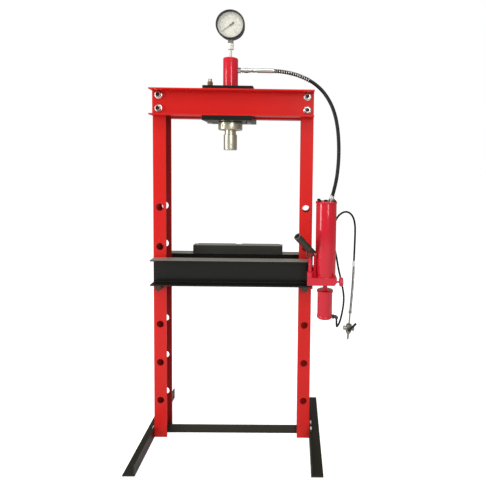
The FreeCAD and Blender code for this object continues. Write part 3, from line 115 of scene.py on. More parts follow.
# Tone: a slow, faint change of shade over a surface, as any coat or hide of metal has.
tone, tone_in, tone_out = effect(
    "uneven tone",
    [("Colour", "Color", None), ("Amount", "Float", 0.1), ("Scale", "Float", 6.0)],
    [("Colour", "Color")],
)
place = put(tone, "ShaderNodeTexCoord")
cloud = put(
    tone, "ShaderNodeTexNoise",
    [("Vector", place.outputs["Object"]), ("Scale", tone_in.outputs["Scale"]), ("Detail", 4.0)],
)
swing = put(tone, "ShaderNodeMath", [(0, cloud.outputs["Fac"]), (1, 0.5)], operation="SUBTRACT")
swing = put(
    tone, "ShaderNodeMath", [(0, swing.outputs[0]), (1, tone_in.outputs["Amount"])], operation="MULTIPLY",
)
swing = put(tone, "ShaderNodeMath", [(0, swing.outputs[0]), (1, 1.0)], operation="ADD")
shade = put(
    tone, "ShaderNodeVectorMath", [(0, tone_in.outputs["Colour"]), ("Scale", swing.outputs[0])],
    operation="SCALE",
)
tone.links.new(shade.outputs[0], tone_out.inputs["Colour"])

# Grain: the fine relief of a surface, as a height and as a change of roughness.
grain, grain_in, grain_out = effect(
    "surface grain",
    [
        ("Stretch", "Vector", (1.0, 1.0, 1.0)), ("Scale", "Float", 300.0), ("Roughness", "Float", 0.4),
        ("Spread", "Float", 0.1),
    ],
    [("Height", "Float"), ("Roughness", "Float")],
)
place = put(grain, "ShaderNodeTexCoord")
pull = put(
    grain, "ShaderNodeVectorMath", [(0, place.outputs["Object"]), (1, grain_in.outputs["Stretch"])],
    operation="MULTIPLY",
)
fine = put(
    grain, "ShaderNodeTexNoise",
    [("Vector", pull.outputs[0]), ("Scale", grain_in.outputs["Scale"]), ("Detail", 3.0)],
)
patch = put(
    grain, "ShaderNodeTexNoise", [("Vector", place.outputs["Object"]), ("Scale", 9.0), ("Detail", 5.0)],
)
swing = put(grain, "ShaderNodeMath", [(0, patch.outputs["Fac"]), (1, 0.5)], operation="SUBTRACT")
swing = put(
    grain, "ShaderNodeMath",
    [(0, swing.outputs[0]), (1, grain_in.outputs["Spread"]), (2, grain_in.outputs["Roughness"])],
    operation="MULTIPLY_ADD",
)
grain.links.new(fine.outputs["Fac"], grain_out.inputs["Height"])
grain.links.new(swing.outputs[0], grain_out.inputs["Roughness"])

# Wear: where an edge is rubbed, found from how far a rounded normal leaves the true one.
wear, wear_in, wear_out = effect(
    "edge wear",
    [("Width", "Float", 0.002), ("Amount", "Float", 0.5), ("Scale", "Float", 60.0)],
    [("Mask", "Float")],
)
place = put(wear, "ShaderNodeTexCoord")
round_normal = put(wear, "ShaderNodeBevel", [("Radius", wear_in.outputs["Width"])], samples=4)
true_normal = put(wear, "ShaderNodeNewGeometry")
match = put(
    wear, "ShaderNodeVectorMath", [(0, round_normal.outputs[0]), (1, true_normal.outputs["Normal"])],
    operation="DOT_PRODUCT",
)
edge = put(wear, "ShaderNodeMath", [(0, 1.0), (1, match.outputs["Value"])], operation="SUBTRACT")
chips = put(
    wear, "ShaderNodeTexNoise",
    [("Vector", place.outputs["Object"]), ("Scale", wear_in.outputs["Scale"]), ("Detail", 6.0)],
)
chips = put(wear, "ShaderNodeMath", [(0, chips.outputs["Fac"]), (1, 2.2)], operation="POWER")
edge = put(wear, "ShaderNodeMath", [(0, edge.outputs[0]), (1, chips.outputs[0])], operation="MULTIPLY")
edge = put(wear, "ShaderNodeMath", [(0, edge.outputs[0]), (1, 24.0)], operation="MULTIPLY", use_clamp=True)
edge = put(
    wear, "ShaderNodeMath", [(0, edge.outputs[0]), (1, wear_in.outputs["Amount"])], operation="MULTIPLY",
    use_clamp=True,
)
wear.links.new(edge.outputs[0], wear_out.inputs["Mask"])


def finish(
    name, colour, rough, metal=0.0, coat=0.0, spread=0.1, scale=300.0, stretch=(1, 1, 1), relief=0.1,
    uneven=0.1, worn=0.0, under=(0.3, 0.28, 0.26), shine=0.5,
):
    """One finish: uneven tone, worn edges that show what is under it, and a fine grain."""
    material, tree, principled = shader(name)
    coloured = put(tree, "ShaderNodeGroup", node_tree=tone)
    coloured.inputs["Colour"].default_value = (*colour, 1.0)
    coloured.inputs["Amount"].default_value = uneven
    textured = put(tree, "ShaderNodeGroup", node_tree=grain)
    textured.inputs["Stretch"].default_value = stretch
    textured.inputs["Scale"].default_value = scale
    textured.inputs["Roughness"].default_value = rough
    textured.inputs["Spread"].default_value = spread
    relief_node = put(
        tree, "ShaderNodeBump",
        [("Height", textured.outputs["Height"]), ("Strength", relief), ("Distance", 0.0004)],
    )
    colour_out = coloured.outputs["Colour"]
    if worn:
        rubbed = put(tree, "ShaderNodeGroup", node_tree=wear)
        rubbed.inputs["Amount"].default_value = worn
        mixed = put(tree, "ShaderNodeMix", data_type="RGBA")
        tree.links.new(rubbed.outputs["Mask"], mixed.inputs[0])
        tree.links.new(colour_out, mixed.inputs[6])
        mixed.inputs[7].default_value = (*under, 1.0)
        colour_out = mixed.outputs[2]
    tree.links.new(colour_out, principled.inputs["Base Color"])
    tree.links.new(textured.outputs["Roughness"], principled.inputs["Roughness"])
    tree.links.new(relief_node.outputs["Normal"], principled.inputs["Normal"])
    principled.inputs["Metallic"].default_value = metal
    principled.inputs["Coat Weight"].default_value = coat
    principled.inputs["Specular IOR Level"].default_value = shine
    principled.inputs["Coat Roughness"].default_value = 0.08
    return material


hose_rubber = finish(
    "black hose rubber", (0.006, 0.006, 0.0065), 0.36, scale=900.0, relief=0.15, spread=0.15, shine=0.25,
)
spring_wire = finish("bright spring wire", (0.86, 0.85, 0.80), 0.3, metal=1.0, scale=400.0, relief=0.05)
zinc_plate = finish(
    "zinc plate", (0.66, 0.655, 0.61), 0.3, metal=1.0, spread=0.25, scale=500.0, relief=0.06, uneven=0.25,
)


def cord_curve(name, points, radius, material):
    """A NURBS curve of order 3 with the route's points as its control points."""
    curve = bpy.data.curves.new(name, "CURVE")
    curve.dimensions = "3D"
    line = curve.splines.new("NURBS")
    line.points.add(len(points) - 1)
    line.points.foreach_set("co", np.column_stack([points, np.ones(len(points))]).ravel())
    line.order_u = 3
    line.use_endpoint_u = True
    line.resolution_u = 16
    curve.bevel_depth = radius
    curve.bevel_resolution = 8
    curve.use_fill_caps = True
    if material:
        curve.materials.append(material)
    piece = bpy.data.objects.new(name, curve)
    scene.collection.objects.link(piece)
    return piece


def centreline(points):
    """The points of the route's own spline, read from a curve with no bevel."""
    bare = cord_curve("bare", points, 0.0, None)
    bare.data.bevel_depth = 0.0
    bpy.context.view_layer.update()
    mesh = bpy.data.meshes.new_from_object(bare)
    line = np.zeros(len(mesh.vertices) * 3)
    mesh.vertices.foreach_get("co", line)
    bpy.data.objects.remove(bare)
    return line.reshape(-1, 3)


def stations(line, start, stop, count):
    """Points and three directions at even steps of length along a line."""
    steps = np.linalg.norm(np.diff(line, axis=0), axis=1)
    run = np.concatenate([[0.0], np.cumsum(steps)])
    at = np.linspace(start, stop, count)
    spots = np.stack([np.interp(at, run, line[:, k]) for k in range(3)], axis=1)
    along = np.gradient(spots, axis=0)
    along /= np.linalg.norm(along, axis=1, keepdims=True)
    across = np.cross(along, (0.0, 1.0, 0.0))
    across /= np.linalg.norm(across, axis=1, keepdims=True)
    return at, spots, along, across, np.cross(along, across)


def piece(name, grids, material, body="frame", slot=None, replaced=(), sharp=35.0):
    """One object from closed grids of points (row, column, xyz). Columns go once round. A grid
    flagged True closes on itself along its rows too; otherwise each end is one flat face."""
    corners, faces, base = [], [], 0
    for grid, closed in grids:
        rows, columns = grid.shape[:2]
        index = np.arange(rows * columns).reshape(rows, columns)
        beside = np.roll(index, -1, axis=1)
        if closed:
            quads = np.stack(
                [index, beside, np.roll(beside, -1, axis=0), np.roll(index, -1, axis=0)], axis=-1,
            )
        else:
            quads = np.stack([index[:-1], beside[:-1], beside[1:], index[1:]], axis=-1)
        quads = quads.reshape(-1, 4)
        ends = [] if closed else [index[0][::-1], index[-1]]
        spots = grid.reshape(-1, 3)
        middle = spots.mean(axis=0)
        a, b, c, d = (spots[quads[:, k]] - middle for k in range(4))
        volume = np.sum(a * np.cross(b, c)) + np.sum(a * np.cross(c, d))
        for end in ends:
            hub = spots[end].mean(axis=0) - middle
            rim = spots[end] - middle
            volume += np.sum(hub * np.cross(rim, np.roll(rim, -1, axis=0)))
        if volume < 0:
            quads = quads[:, ::-1]
            ends = [end[::-1] for end in ends]
        corners.append(spots)
        faces += (quads + base).tolist() + [(end + base).tolist() for end in ends]
        base += len(spots)
    mesh = bpy.data.meshes.new(name)
    mesh.from_pydata(np.concatenate(corners), [], faces)
    mesh.polygons.foreach_set("use_smooth", np.ones(len(mesh.polygons), bool))
    mesh.update()
    mesh.set_sharp_from_angle(angle=math.radians(sharp))
    made = bpy.data.objects.new(name, mesh)
    made.data.materials.append(material)
    scene.collection.objects.link(made)
    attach(made, body)
    if replaced:
        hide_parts(*replaced)
    return made


def sleeve(line, start, stop, profile, rows=96, steps=32):
    """A profile of (distance along, radius) carried round a line: a closed skin."""
    share, radii = np.array(profile).T
    _, spots, _, across, up = stations(line, start, stop, rows)
    radius = np.interp(np.linspace(0, 1, rows), share, radii)
    turn = np.linspace(0, 2 * np.pi, steps, endpoint=False)
    ring = np.cos(turn)[None, :, None] * across[:, None] + np.sin(turn)[None, :, None] * up[:, None]
    return spots[:, None] + radius[:, None, None] * ring, False


def coil(line, start, stop, radius, wire, pitch, per_turn=20):
    """A wire wound round a line: the helix at that radius, and a small circle round it."""
    turns = (stop - start) / pitch
    at, spots, _, across, up = stations(line, start, stop, int(turns * per_turn) + 1)
    angle = ((at - start) / pitch * 2 * np.pi)[:, None]
    outward = np.cos(angle) * across + np.sin(angle) * up
    helix = spots + radius * outward
    heading = np.gradient(helix, axis=0)
    heading /= np.linalg.norm(heading, axis=1, keepdims=True)
    side = np.cross(heading, outward)
    turn = np.linspace(0, 2 * np.pi, 8, endpoint=False)[None, :, None]
    return helix[:, None] + wire * (np.cos(turn) * outward[:, None] + np.sin(turn) * side[:, None]), False


hose_route = np.array([
    (77, 0, 1656), (150, 0, 1656), (196, -1, 1655), (246, -5, 1647), (296, -11, 1631),
    (344, -19, 1606), (388, -31, 1567), (422, -45, 1514), (443, -58, 1455), (454, -67, 1390),
    (458, -74, 1324), (457, -80, 1258), (451, -85, 1195), (441, -89, 1145), (432, -91, 1112),
]) / 1000
hose = cord_curve("hydraulic_hose_line", hose_route, 0.00775, hose_rubber)
hose_line = centreline(hose_route)
# The ferrule's skin: a plain neck, a groove, then four crimped rings and a plain end.
ferrule_skin = [
    (0, 0.0079), (0.03, 0.0088), (0.1, 0.0088), (0.14, 0.0078), (0.2, 0.0078), (0.24, 0.0095),
    (0.3, 0.0099), (0.34, 0.0094), (0.4, 0.0099), (0.46, 0.0094), (0.52, 0.0099), (0.58, 0.0094),
    (0.64, 0.0099), (0.96, 0.0099), (1, 0.0090),
]
hose_ferrule = piece(
    "hydraulic_hose_ferrule", [sleeve(hose_line, 0.0, 0.096, ferrule_skin)], zinc_plate,
    slot="zinc", replaced=["hydraulic_ferrule"],
)
hose_guard = piece(
    "hydraulic_hose_guard", [coil(hose_line, 0.098, 0.262, 0.0091, 0.00125, 0.0105)], spring_wire,
    slot="guard", replaced=["hydraulic_guard"],
)
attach(hose, "frame")
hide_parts("hydraulic_hose")


# ============================================================ air hose
# A thin plastic hose leaves the air motor's elbow, turns up, goes behind the reservoir through
# a clip, bows out at the right and hangs down to the air valve, with a spring round its last part.
air_plastic = finish(
    "black air hose", (0.007, 0.007, 0.0075), 0.32, scale=700.0, relief=0.08, spread=0.12, shine=0.25,
)
white_plastic = finish("white plastic collar", (0.82, 0.81, 0.77), 0.4, scale=500.0, relief=0.08)
air_route = np.array([
    (459, -92, 580), (459, -92, 547), (466, -64, 530), (481, -38, 541), (491, -31, 579), (497, -32, 620),
    (497, -37, 660), (489, -42, 702), (479, -44, 745), (468, -45, 790), (460, -47, 835), (449, -50, 880),
    (443, -51, 923), (443, -49, 962), (452, -45, 1001), (473, -41, 1030), (503, -39, 1041), (529, -39, 1022),
    (540, -40, 985), (541, -40, 938), (540, -40, 892), (539, -40, 848), (538, -40, 807), (537, -41, 777),
    (535, -40, 725), (532, -41, 672), (529, -40, 630), (526, -41, 592),
]) / 1000
air_hose = cord_curve("air_hose_line", air_route, 0.0043, air_plastic)
air_line = centreline(air_route)
air_run = float(np.sum(np.linalg.norm(np.diff(air_line, axis=0), axis=1)))
collar_skin = [(0, 0.0046), (0.08, 0.0058), (0.5, 0.0061), (0.92, 0.0058), (1, 0.0046)]
collar = piece(
    "air_hose_white_collar",
    [sleeve(air_line, air_run - 0.229, air_run - 0.203, collar_skin)],
    white_plastic, slot="white_plastic", replaced=["air_hose_collar"],
)
air_guard = piece(
    "air_hose_spring",
    [coil(air_line, air_run - 0.202, air_run - 0.002, 0.0053, 0.0009, 0.0052)],
    spring_wire, slot="guard", replaced=["air_hose_guard"],
)
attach(air_hose, "frame")
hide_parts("air_hose")


# ============================================================ uprights, crossbeams and base
# Bent and rolled steel channels, drilled and dipped in red enamel, bolted at the top corners
# and to angle-iron feet at the floor. The enamel is glossy, a little thinner on the edges.


def rounded_copy(node, width, material, segments=2, angle=32.0):
    """The node's own faces, merged and flattened, with each sharp edge rounded by a bevel."""
    mesh = cad_nodes[node].data.copy()
    shell = bmesh.new()
    shell.from_mesh(mesh)
    bmesh.ops.remove_doubles(shell, verts=shell.verts, dist=2e-6)
    bmesh.ops.dissolve_limit(shell, angle_limit=0.004, verts=shell.verts, edges=shell.edges)
    shell.to_mesh(mesh)
    shell.free()
    mesh.materials.clear()
    mesh.materials.append(material)
    mesh.polygons.foreach_set("use_smooth", np.ones(len(mesh.polygons), bool))
    mesh.set_sharp_from_angle(angle=math.radians(angle))
    made = bpy.data.objects.new(node + "_rounded", mesh)
    scene.collection.objects.link(made)
    bevel = made.modifiers.new("edges", "BEVEL")
    bevel.width = width
    bevel.segments = segments
    bevel.limit_method = "ANGLE"
    bevel.angle_limit = math.radians(angle)
    bevel.harden_normals = True
    bevel.use_clamp_overlap = True
    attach(made, body_of_node[node])
    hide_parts(node)
    return made


def second_finish(made, material, chosen):
    """A second material on the faces that chosen picks from the array of their centres."""
    made.data.materials.append(material)
    centres = np.zeros(len(made.data.polygons) * 3)
    made.data.polygons.foreach_get("center", centres)
    picked = chosen(centres.reshape(-1, 3)).astype(np.int32)
    made.data.polygons.foreach_set("material_index", picked)


red_enamel = finish(
    "red enamel", (0.60, 0.011, 0.008), 0.36, coat=0.1, spread=0.16, scale=520.0, relief=0.10, uneven=0.14,
    worn=0.25, under=(0.30, 0.012, 0.010), shine=0.22,
)
dark_enamel = finish(
    "dark enamel", (0.022, 0.020, 0.012), 0.4, coat=0.06, spread=0.2, scale=420.0, relief=0.15, uneven=0.3,
    worn=0.4, under=(0.14, 0.13, 0.11), shine=0.22,
)
# A darker red that stands in for the shade inside the uprights' channels: painted shade.
shaded_enamel = finish(
    "red enamel with painted shade", (0.30, 0.009, 0.009), 0.5, coat=0.05, spread=0.16, scale=520.0, relief=0.12,
    uneven=0.25, shine=0.2,
)
# The channel's inside faces, between the flanges and short of the web, get a darker red: painted shade.
flange_inside, web_inside = 0.0335, 0.3455
for name in ("left_upright", "right_upright", "front_crossbeam", "rear_crossbeam"):
    member = rounded_copy(name, 0.0014, red_enamel, segments=3)
    if name.endswith("upright"):
        second_finish(
            member, shaded_enamel,
            lambda spots: (np.abs(spots[:, 1]) < flange_inside) & (np.abs(spots[:, 0]) < web_inside),
        )
for name in ("left_foot", "right_foot", "base_tie"):
    rounded_copy(name, 0.0012, dark_enamel)


# ============================================================ bolts and nuts of the frame
# M16 bolts with flanged nuts clamp the crossbeams to the uprights, heads inside; M12 bolts hold
# the feet and the pump's bracket. The nuts are bright zinc, the bolts blackened.


def directions(axis):
    """Two directions across an axis and the axis itself, as unit arrays."""
    along = np.array(axis, float) / np.linalg.norm(axis)
    helper = np.array((0.0, 0.0, 1.0)) if abs(along[2]) < 0.9 else np.array((1.0, 0.0, 0.0))
    first = np.cross(helper, along)
    first /= np.linalg.norm(first)
    return first, np.cross(along, first), along


def around(centre, axis, radius, height, turn):
    """Points at centre + radius (cos, sin) across the axis + height along it."""
    first, second, along = directions(axis)
    radius, height, turn = np.broadcast_arrays(radius, height, turn)
    return (
        np.array(centre)
        + (radius * np.cos(turn))[..., None] * first
        + (radius * np.sin(turn))[..., None] * second
        + height[..., None] * along
    )


def hexagonal(centre, axis, flats, height, spin=0.0):
    """A hexagon whose corners are cut by a cone: the radius is the smaller of the distance to
    the flat, half the flats over the cosine of the angle from its middle, and the cone's."""
    turn = np.linspace(0, 2 * np.pi, 72, endpoint=False)[None, :]
    side = flats / 2 / np.cos((turn + np.pi / 6) % (np.pi / 3) - np.pi / 6)
    level = np.concatenate([[0.0, 0.02], np.linspace(0.7, 1.0, 6)])[:, None] * height
    face_radius, slope = flats * 0.475, 1.75
    cone = face_radius + (height - level) * slope
    return around(centre, axis, np.minimum(side, cone), level, turn + spin), False


def threaded(centre, axis, radius, length, pitch):
    """A screw's end: the radius falls and rises once a pitch along it and once a turn round."""
    turn = np.linspace(0, 2 * np.pi, 36, endpoint=False)[None, :]
    level = np.linspace(0, length, max(int(length / pitch * 8), 4))[:, None]
    groove = 0.3 * pitch
    ridge = radius - groove * (0.5 + 0.5 * np.cos(2 * np.pi * level / pitch - turn))
    point, slope = radius - 0.0012, 0.9
    end = point + (length - level) * slope
    return around(centre, axis, np.minimum(ridge, end), level, turn), False


def lathe(profile, centre, axis=(0, 0, 1), ring=False, corner=0.0006, steps=96):
    """A profile of (radius, height) with its corners eased, carried once round an axis. ring
    says that the profile closes on itself, as a pipe's does."""
    spots = np.array(profile, float)
    before = np.roll(spots, 1, axis=0) if ring else np.vstack([spots[:1], spots[:-1]])
    after = np.roll(spots, -1, axis=0) if ring else np.vstack([spots[1:], spots[-1:]])

    def eased(other):
        gap = other - spots
        size = np.linalg.norm(gap, axis=1, keepdims=True)
        return spots + gap / np.maximum(size, 1e-9) * np.minimum(corner, size * 0.45)

    first, last = eased(before), eased(after)
    crown = 0.25 * first + 0.5 * spots + 0.25 * last
    outline = np.stack([first, crown, last], axis=1).reshape(-1, 2)
    if not ring:
        outline = outline[2:-2]
    turn = np.linspace(0, 2 * np.pi, steps, endpoint=False)[None, :]
    return around(centre, axis, outline[:, :1], outline[:, 1:], turn), ring


black_oxide = finish(
    "blackened steel", (0.02, 0.019, 0.018), 0.38, metal=0.6, spread=0.2, scale=600.0, relief=0.1,
    uneven=0.3,
)
beam_low, beam_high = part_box("front_crossbeam")
hole_x = 0.322
# Distances from the frame's middle: a nut's flange, its hexagon, the bolt's end and its head.
flange_y, hexagon_y, bolt_end_y, head_y = 0.044, 0.0468, 0.0562, 0.0329
nut_flange = [(0.0082, 0.0), (0.0165, 0.0), (0.0165, 0.0016), (0.0128, 0.0032), (0.0082, 0.0032)]
bolt_z = [(beam_low[2] + beam_high[2]) / 2 + shift for shift in (-0.0245, 0.0335)]
nut_grids, bolt_grids = [], []
for side in (-1, 1):
    for across in (-hole_x, hole_x):
        for k, height in enumerate(bolt_z):
            flange, hexagon, bolt_end, head = (
                (across, side * y, height) for y in (flange_y, hexagon_y, bolt_end_y, head_y)
            )
            way = (0, side, 0)
            nut_grids.append(lathe(nut_flange, flange, way, ring=True, corner=0.0004))
            nut_grids.append(hexagonal(hexagon, way, 0.024, 0.0102, spin=0.4 * k + across))
            bolt_grids.append(threaded(bolt_end, way, 0.008, 0.0038, 0.002))
            bolt_grids.append(hexagonal(head, (0, -side, 0), 0.024, 0.0098))
piece("crossbeam_flange_nuts", nut_grids, zinc_plate, slot="zinc", replaced=["crossbeam_nuts"])
piece("crossbeam_bolt_ends", bolt_grids, black_oxide, slot="blackened", replaced=["crossbeam_bolts"])
rounded_copy("anchor_bolts", 0.0005, zinc_plate)


# ============================================================ head plates and clamp bolts
# Two flame-cut plates, painted black, hold the cylinder: one on the crossbeams and one under
# them, drawn together by two long bolts. The left bolt ends in a nut whose plating has browned.
black_enamel = finish(
    "black enamel", (0.009, 0.009, 0.007), 0.32, coat=0.08, spread=0.2, scale=420.0, relief=0.12,
    uneven=0.25, worn=0.35, under=(0.12, 0.12, 0.11), shine=0.22,
)
browned_zinc = finish(
    "browned zinc", (0.32, 0.17, 0.10), 0.38, metal=0.8, spread=0.3, scale=500.0, relief=0.12, uneven=0.5,
)
turned_steel = finish(
    "turned steel", (0.62, 0.605, 0.54), 0.32, metal=1.0, spread=0.2, scale=120.0, stretch=(1, 1, 14),
    relief=0.1, uneven=0.2,
)
for name in ("head_plate_top", "head_plate_bottom"):
    rounded_copy(name, 0.0012, black_enamel)
plate_low, plate_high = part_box("head_plate_top")
plates_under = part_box("head_plate_bottom")[0][2]
head_x = (plate_low[0] + plate_high[0]) / 2
clamp_reach, clamp_y = 0.085, -0.024
clamp_grids = []
for shift, top in ((-clamp_reach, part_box("head_clamp_bolts")[1][2]), (clamp_reach, plate_high[2])):
    spot = (head_x + shift, clamp_y, plates_under)
    clamp_grids.append(hexagonal(spot, (0, 0, -1), 0.022, 0.0095))
    clamp_grids.append(threaded(spot, (0, 0, 1), 0.008, top - plates_under, 0.002))
piece("head_clamp_screws", clamp_grids, turned_steel, slot="machined", replaced=["head_clamp_bolts"])
piece(
    "head_clamp_hex_nut",
    [
        hexagonal((head_x - clamp_reach, clamp_y, plate_high[2] + 0.0001), (0, 0, 1), 0.022, 0.0118),
        hexagonal(
            (head_x - clamp_reach, clamp_y, plate_high[2] + 0.0239), (0, 0, -1), 0.022, 0.0118, spin=0.2,
        ),
    ],
    browned_zinc, slot="copper_zinc", replaced=["head_clamp_nut"],
)


# ============================================================ cylinder, ring nut and ram
# The cylinder is a thick tube in gloss crimson enamel, closed at the top. Under the lower plate
# a nickelled ring nut, drilled for a pin spanner, holds it. The ram ends in a pressing head.
crimson_enamel = finish(
    "crimson enamel", (0.58, 0.010, 0.024), 0.2, coat=0.3, spread=0.1, scale=420.0, relief=0.05,
    uneven=0.1, worn=0.2, under=(0.3, 0.01, 0.02), shine=0.3,
)
nickel = finish(
    "nickel plate", (0.58, 0.56, 0.43), 0.36, metal=0.9, spread=0.2, scale=160.0, stretch=(1, 1, 12),
    relief=0.06, uneven=0.2,
)
bore_low, bore_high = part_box("cylinder_barrel")
axis_x = (bore_low[0] + bore_high[0]) / 2
outer = (bore_high[0] - bore_low[0]) / 2
tube_foot, tube_top = bore_low[2] + 0.0002, bore_high[2]
tube_skin = [
    (0.0282, tube_foot), (outer, tube_foot), (outer, tube_top - 0.002), (outer - 0.0025, tube_top),
    (0.0052, tube_top), (0.0052, tube_top - 0.01), (0.0281, tube_top - 0.0252),
]
piece(
    "cylinder_tube", [lathe(tube_skin, (axis_x, 0, 0), ring=True, corner=0.0012, steps=128)],
    crimson_enamel, slot="crimson_paint", replaced=["cylinder_barrel"],
)
rounded_copy("cylinder_ring_nut", 0.0005, nickel, angle=38.0)
saddle_low, saddle_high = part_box("ram_saddle")
saddle_r = (saddle_high[0] - saddle_low[0]) / 2
saddle_foot, saddle_top = saddle_low[2], saddle_high[2]
saddle_skin = [
    (saddle_r - 0.003, saddle_foot), (saddle_r, saddle_foot + 0.003), (saddle_r, saddle_foot + 0.02),
    (saddle_r - 0.0004, saddle_foot + 0.0204), (saddle_r - 0.0004, saddle_foot + 0.0216),
    (saddle_r, saddle_foot + 0.022), (saddle_r, saddle_top - 0.002), (saddle_r - 0.002, saddle_top),
]
piece(
    "pressing_head", [lathe(saddle_skin, (axis_x, 0, 0), corner=0.0007, steps=128)],
    nickel, body="ram", slot="nickel", replaced=["ram_saddle"],
)


def dress(node, material):
    """A CAD node keeps its own mesh and takes one of the finishes made here."""
    cad_nodes[node].data.materials.clear()
    cad_nodes[node].data.materials.append(material)


dress("ram_rod", nickel)
dress("piston_seal", hose_rubber)
dress("cylinder_gland", turned_steel)
dress("return_spring", spring_wire)


# ============================================================ pressure gauge
# A dry gauge in a black steel case, on a square socket and a hexagon adaptor. Its cream dial
# carries an outer and an inner scale over three quarters of a turn, and the needle is at rest.
gauge_black = finish(
    "gauge case black", (0.012, 0.012, 0.011), 0.32, coat=0.1, spread=0.15, scale=500.0, relief=0.08,
)
dial_enamel = finish("dial enamel", (0.66, 0.64, 0.53), 0.5, scale=300.0, relief=0.03, uneven=0.05)
dial_ink = finish("dial ink", (0.03, 0.03, 0.035), 0.55, scale=300.0, relief=0.02)
socket_grey = finish(
    "gauge socket", (0.22, 0.225, 0.19), 0.4, metal=0.8, scale=300.0, relief=0.12, uneven=0.3,
)
clear_glass, glass_tree, glass_shader = shader("gauge glass")
glass_shader.inputs["Base Color"].default_value = (0.92, 0.95, 0.95, 1.0)
glass_shader.inputs["Alpha"].default_value = 0.07
glass_smear = put(glass_tree, "ShaderNodeGroup", node_tree=grain)
glass_smear.inputs["Roughness"].default_value = 0.05
glass_smear.inputs["Spread"].default_value = 0.05
glass_tree.links.new(glass_smear.outputs["Roughness"], glass_shader.inputs["Roughness"])

dial_z = 1.85
needle_rest = math.radians(143.3)
toward = (0, -1, 0)
hub = (head_x, 0, dial_z)
bezel_skin = [
    (0.0560, 0.0152), (0.0560, 0.0178), (0.0585, 0.0200), (0.0615, 0.0200),
    (0.0635, 0.0178), (0.0635, 0.0110), (0.06006, 0.0110), (0.06006, 0.0152),
]
piece(
    "gauge_bezel_ring", [lathe(bezel_skin, hub, toward, ring=True, corner=0.0007, steps=128)],
    gauge_black, slot="blackened", replaced=["gauge_bezel"],
)
case_copy = rounded_copy("gauge_case", 0.0022, gauge_black, segments=3)
case_foot = dial_z - 0.0596
second_finish(case_copy, socket_grey, lambda spots: spots[:, 2] < case_foot)
dress("gauge_dial", dial_enamel)
dress("gauge_glass", clear_glass)
# A bar's section as shares of its half width and of its height; printing on the dial is such a
# bar, which starts just under the dial's face and is as thick as the ink.
bar_section = np.array([(-1, 0), (1, 0), (1, 1), (-1, 1)], float)
print_y, ink = 0.00598, 0.00022


def dial_spot(angle, radius, depth):
    """A place over the dial: the angle grows clockwise from the needle's rest."""
    turn = needle_rest + angle
    return np.array((head_x + radius * math.cos(turn), -depth, dial_z - radius * math.sin(turn)))


def stroke(angle, inner, outer, width):
    """A printed stroke along a radius: a thin bar with a square section."""
    out = dial_spot(angle, 1.0, 0.0) - dial_spot(angle, 0.0, 0.0)
    side = np.array((-out[2], 0.0, out[0]))
    front = np.array((0.0, -1.0, 0.0))
    across, raised = bar_section[None, :, :1], bar_section[None, :, 1:]
    ends = np.stack([dial_spot(angle, inner, print_y), dial_spot(angle, outer, print_y)])
    return ends[:, None] + across * side * width / 2 + raised * front * ink, False


def arc(radius, width):
    """A printed arc over the scale's three quarters of a turn."""
    turn = needle_rest + np.linspace(0, 1.5 * np.pi, 121)
    reach = radius + bar_section[None, :, 0] * width / 2
    flat = -print_y - ink * bar_section[None, :, 1] + 0 * turn[:, None]
    across, up = reach * np.cos(turn)[:, None], -reach * np.sin(turn)[:, None]
    return np.stack([head_x + across, flat, dial_z + up], axis=-1), False


# Each scale: its strokes, one long one in how many, their outer, short and long inner radii,
# the widths of a short and a long stroke, and the width of its arc.
marks = []
scales = (
    (50, 5, 0.0485, 0.0445, 0.0415, 0.0004, 0.0008, 0.0005),
    (30, 3, 0.0305, 0.0285, 0.0265, 0.0004, 0.0007, 0.0004),
)
for last, long_in, outer_r, short_r, long_r, thin, thick, _ in scales:
    for k in range(last + 1):
        short = k % long_in
        inner_r, width = (short_r, thin) if short else (long_r, thick)
        marks.append(stroke(math.radians(270 / last * k), inner_r, outer_r, width))
marks += [arc(scale[2], scale[7]) for scale in scales]
piece("dial_scale", marks, dial_ink, slot="needle")
for k in range(6):
    for label, ring_radius, tall, ring_name in (
        (str(4 * k), 0.0370, 0.0078, "outer"), (str(2 * k), 0.0222, 0.0050, "inner"),
    ):
        writing = bpy.data.curves.new("writing", "FONT")
        writing.body = label
        writing.size = tall
        writing.extrude = 0.00011
        writing.align_x = "CENTER"
        writing.align_y = "CENTER"
        carrier = bpy.data.objects.new("writing", writing)
        scene.collection.objects.link(carrier)
        bpy.context.view_layer.update()
        mesh = bpy.data.meshes.new_from_object(carrier)
        bpy.data.objects.remove(carrier)
        spot = dial_spot(math.radians(54 * k), ring_radius, 0.0061)
        mesh.transform(Matrix.Translation(Vector(spot)) @ Matrix.Rotation(math.pi / 2, 4, "X"))
        mesh.materials.append(dial_ink)
        number = bpy.data.objects.new("dial_number_%d_%s" % (k, ring_name), mesh)
        scene.collection.objects.link(number)
        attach(number, "frame")

length = np.array([-0.019, -0.0185, -0.012, -0.0045, 0.0, 0.006, 0.040, 0.046])
breadth = np.array([0.0030, 0.0042, 0.0050, 0.0018, 0.0017, 0.0014, 0.0007, 0.0002])
pointing = np.array((math.cos(needle_rest), 0.0, -math.sin(needle_rest)))
beside = np.array((-pointing[2], 0.0, pointing[0]))
blade_y, blade_thick = 0.0088, 0.0007
blade = (
    np.array((head_x, -blade_y, dial_z))
    + length[:, None, None] * pointing
    + (breadth[:, None] * bar_section[None, :, 0])[..., None] * beside
    - bar_section[None, :, 1:] * np.array((0.0, blade_thick, 0.0))
)
boss = lathe([(0.0046, 0.0087), (0.0046, 0.0100), (0.0030, 0.0106)], hub, toward, corner=0.0003, steps=48)
arbor = lathe([(0.00145, 0.0002), (0.00145, blade_y)], hub, toward, corner=0.0001, steps=24)
piece(
    "gauge_pointer", [(blade, False), boss, arbor],
    dial_ink, body="needle", slot="needle", replaced=["gauge_needle"],
)
adaptor_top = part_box("gauge_adaptor")[1][2]
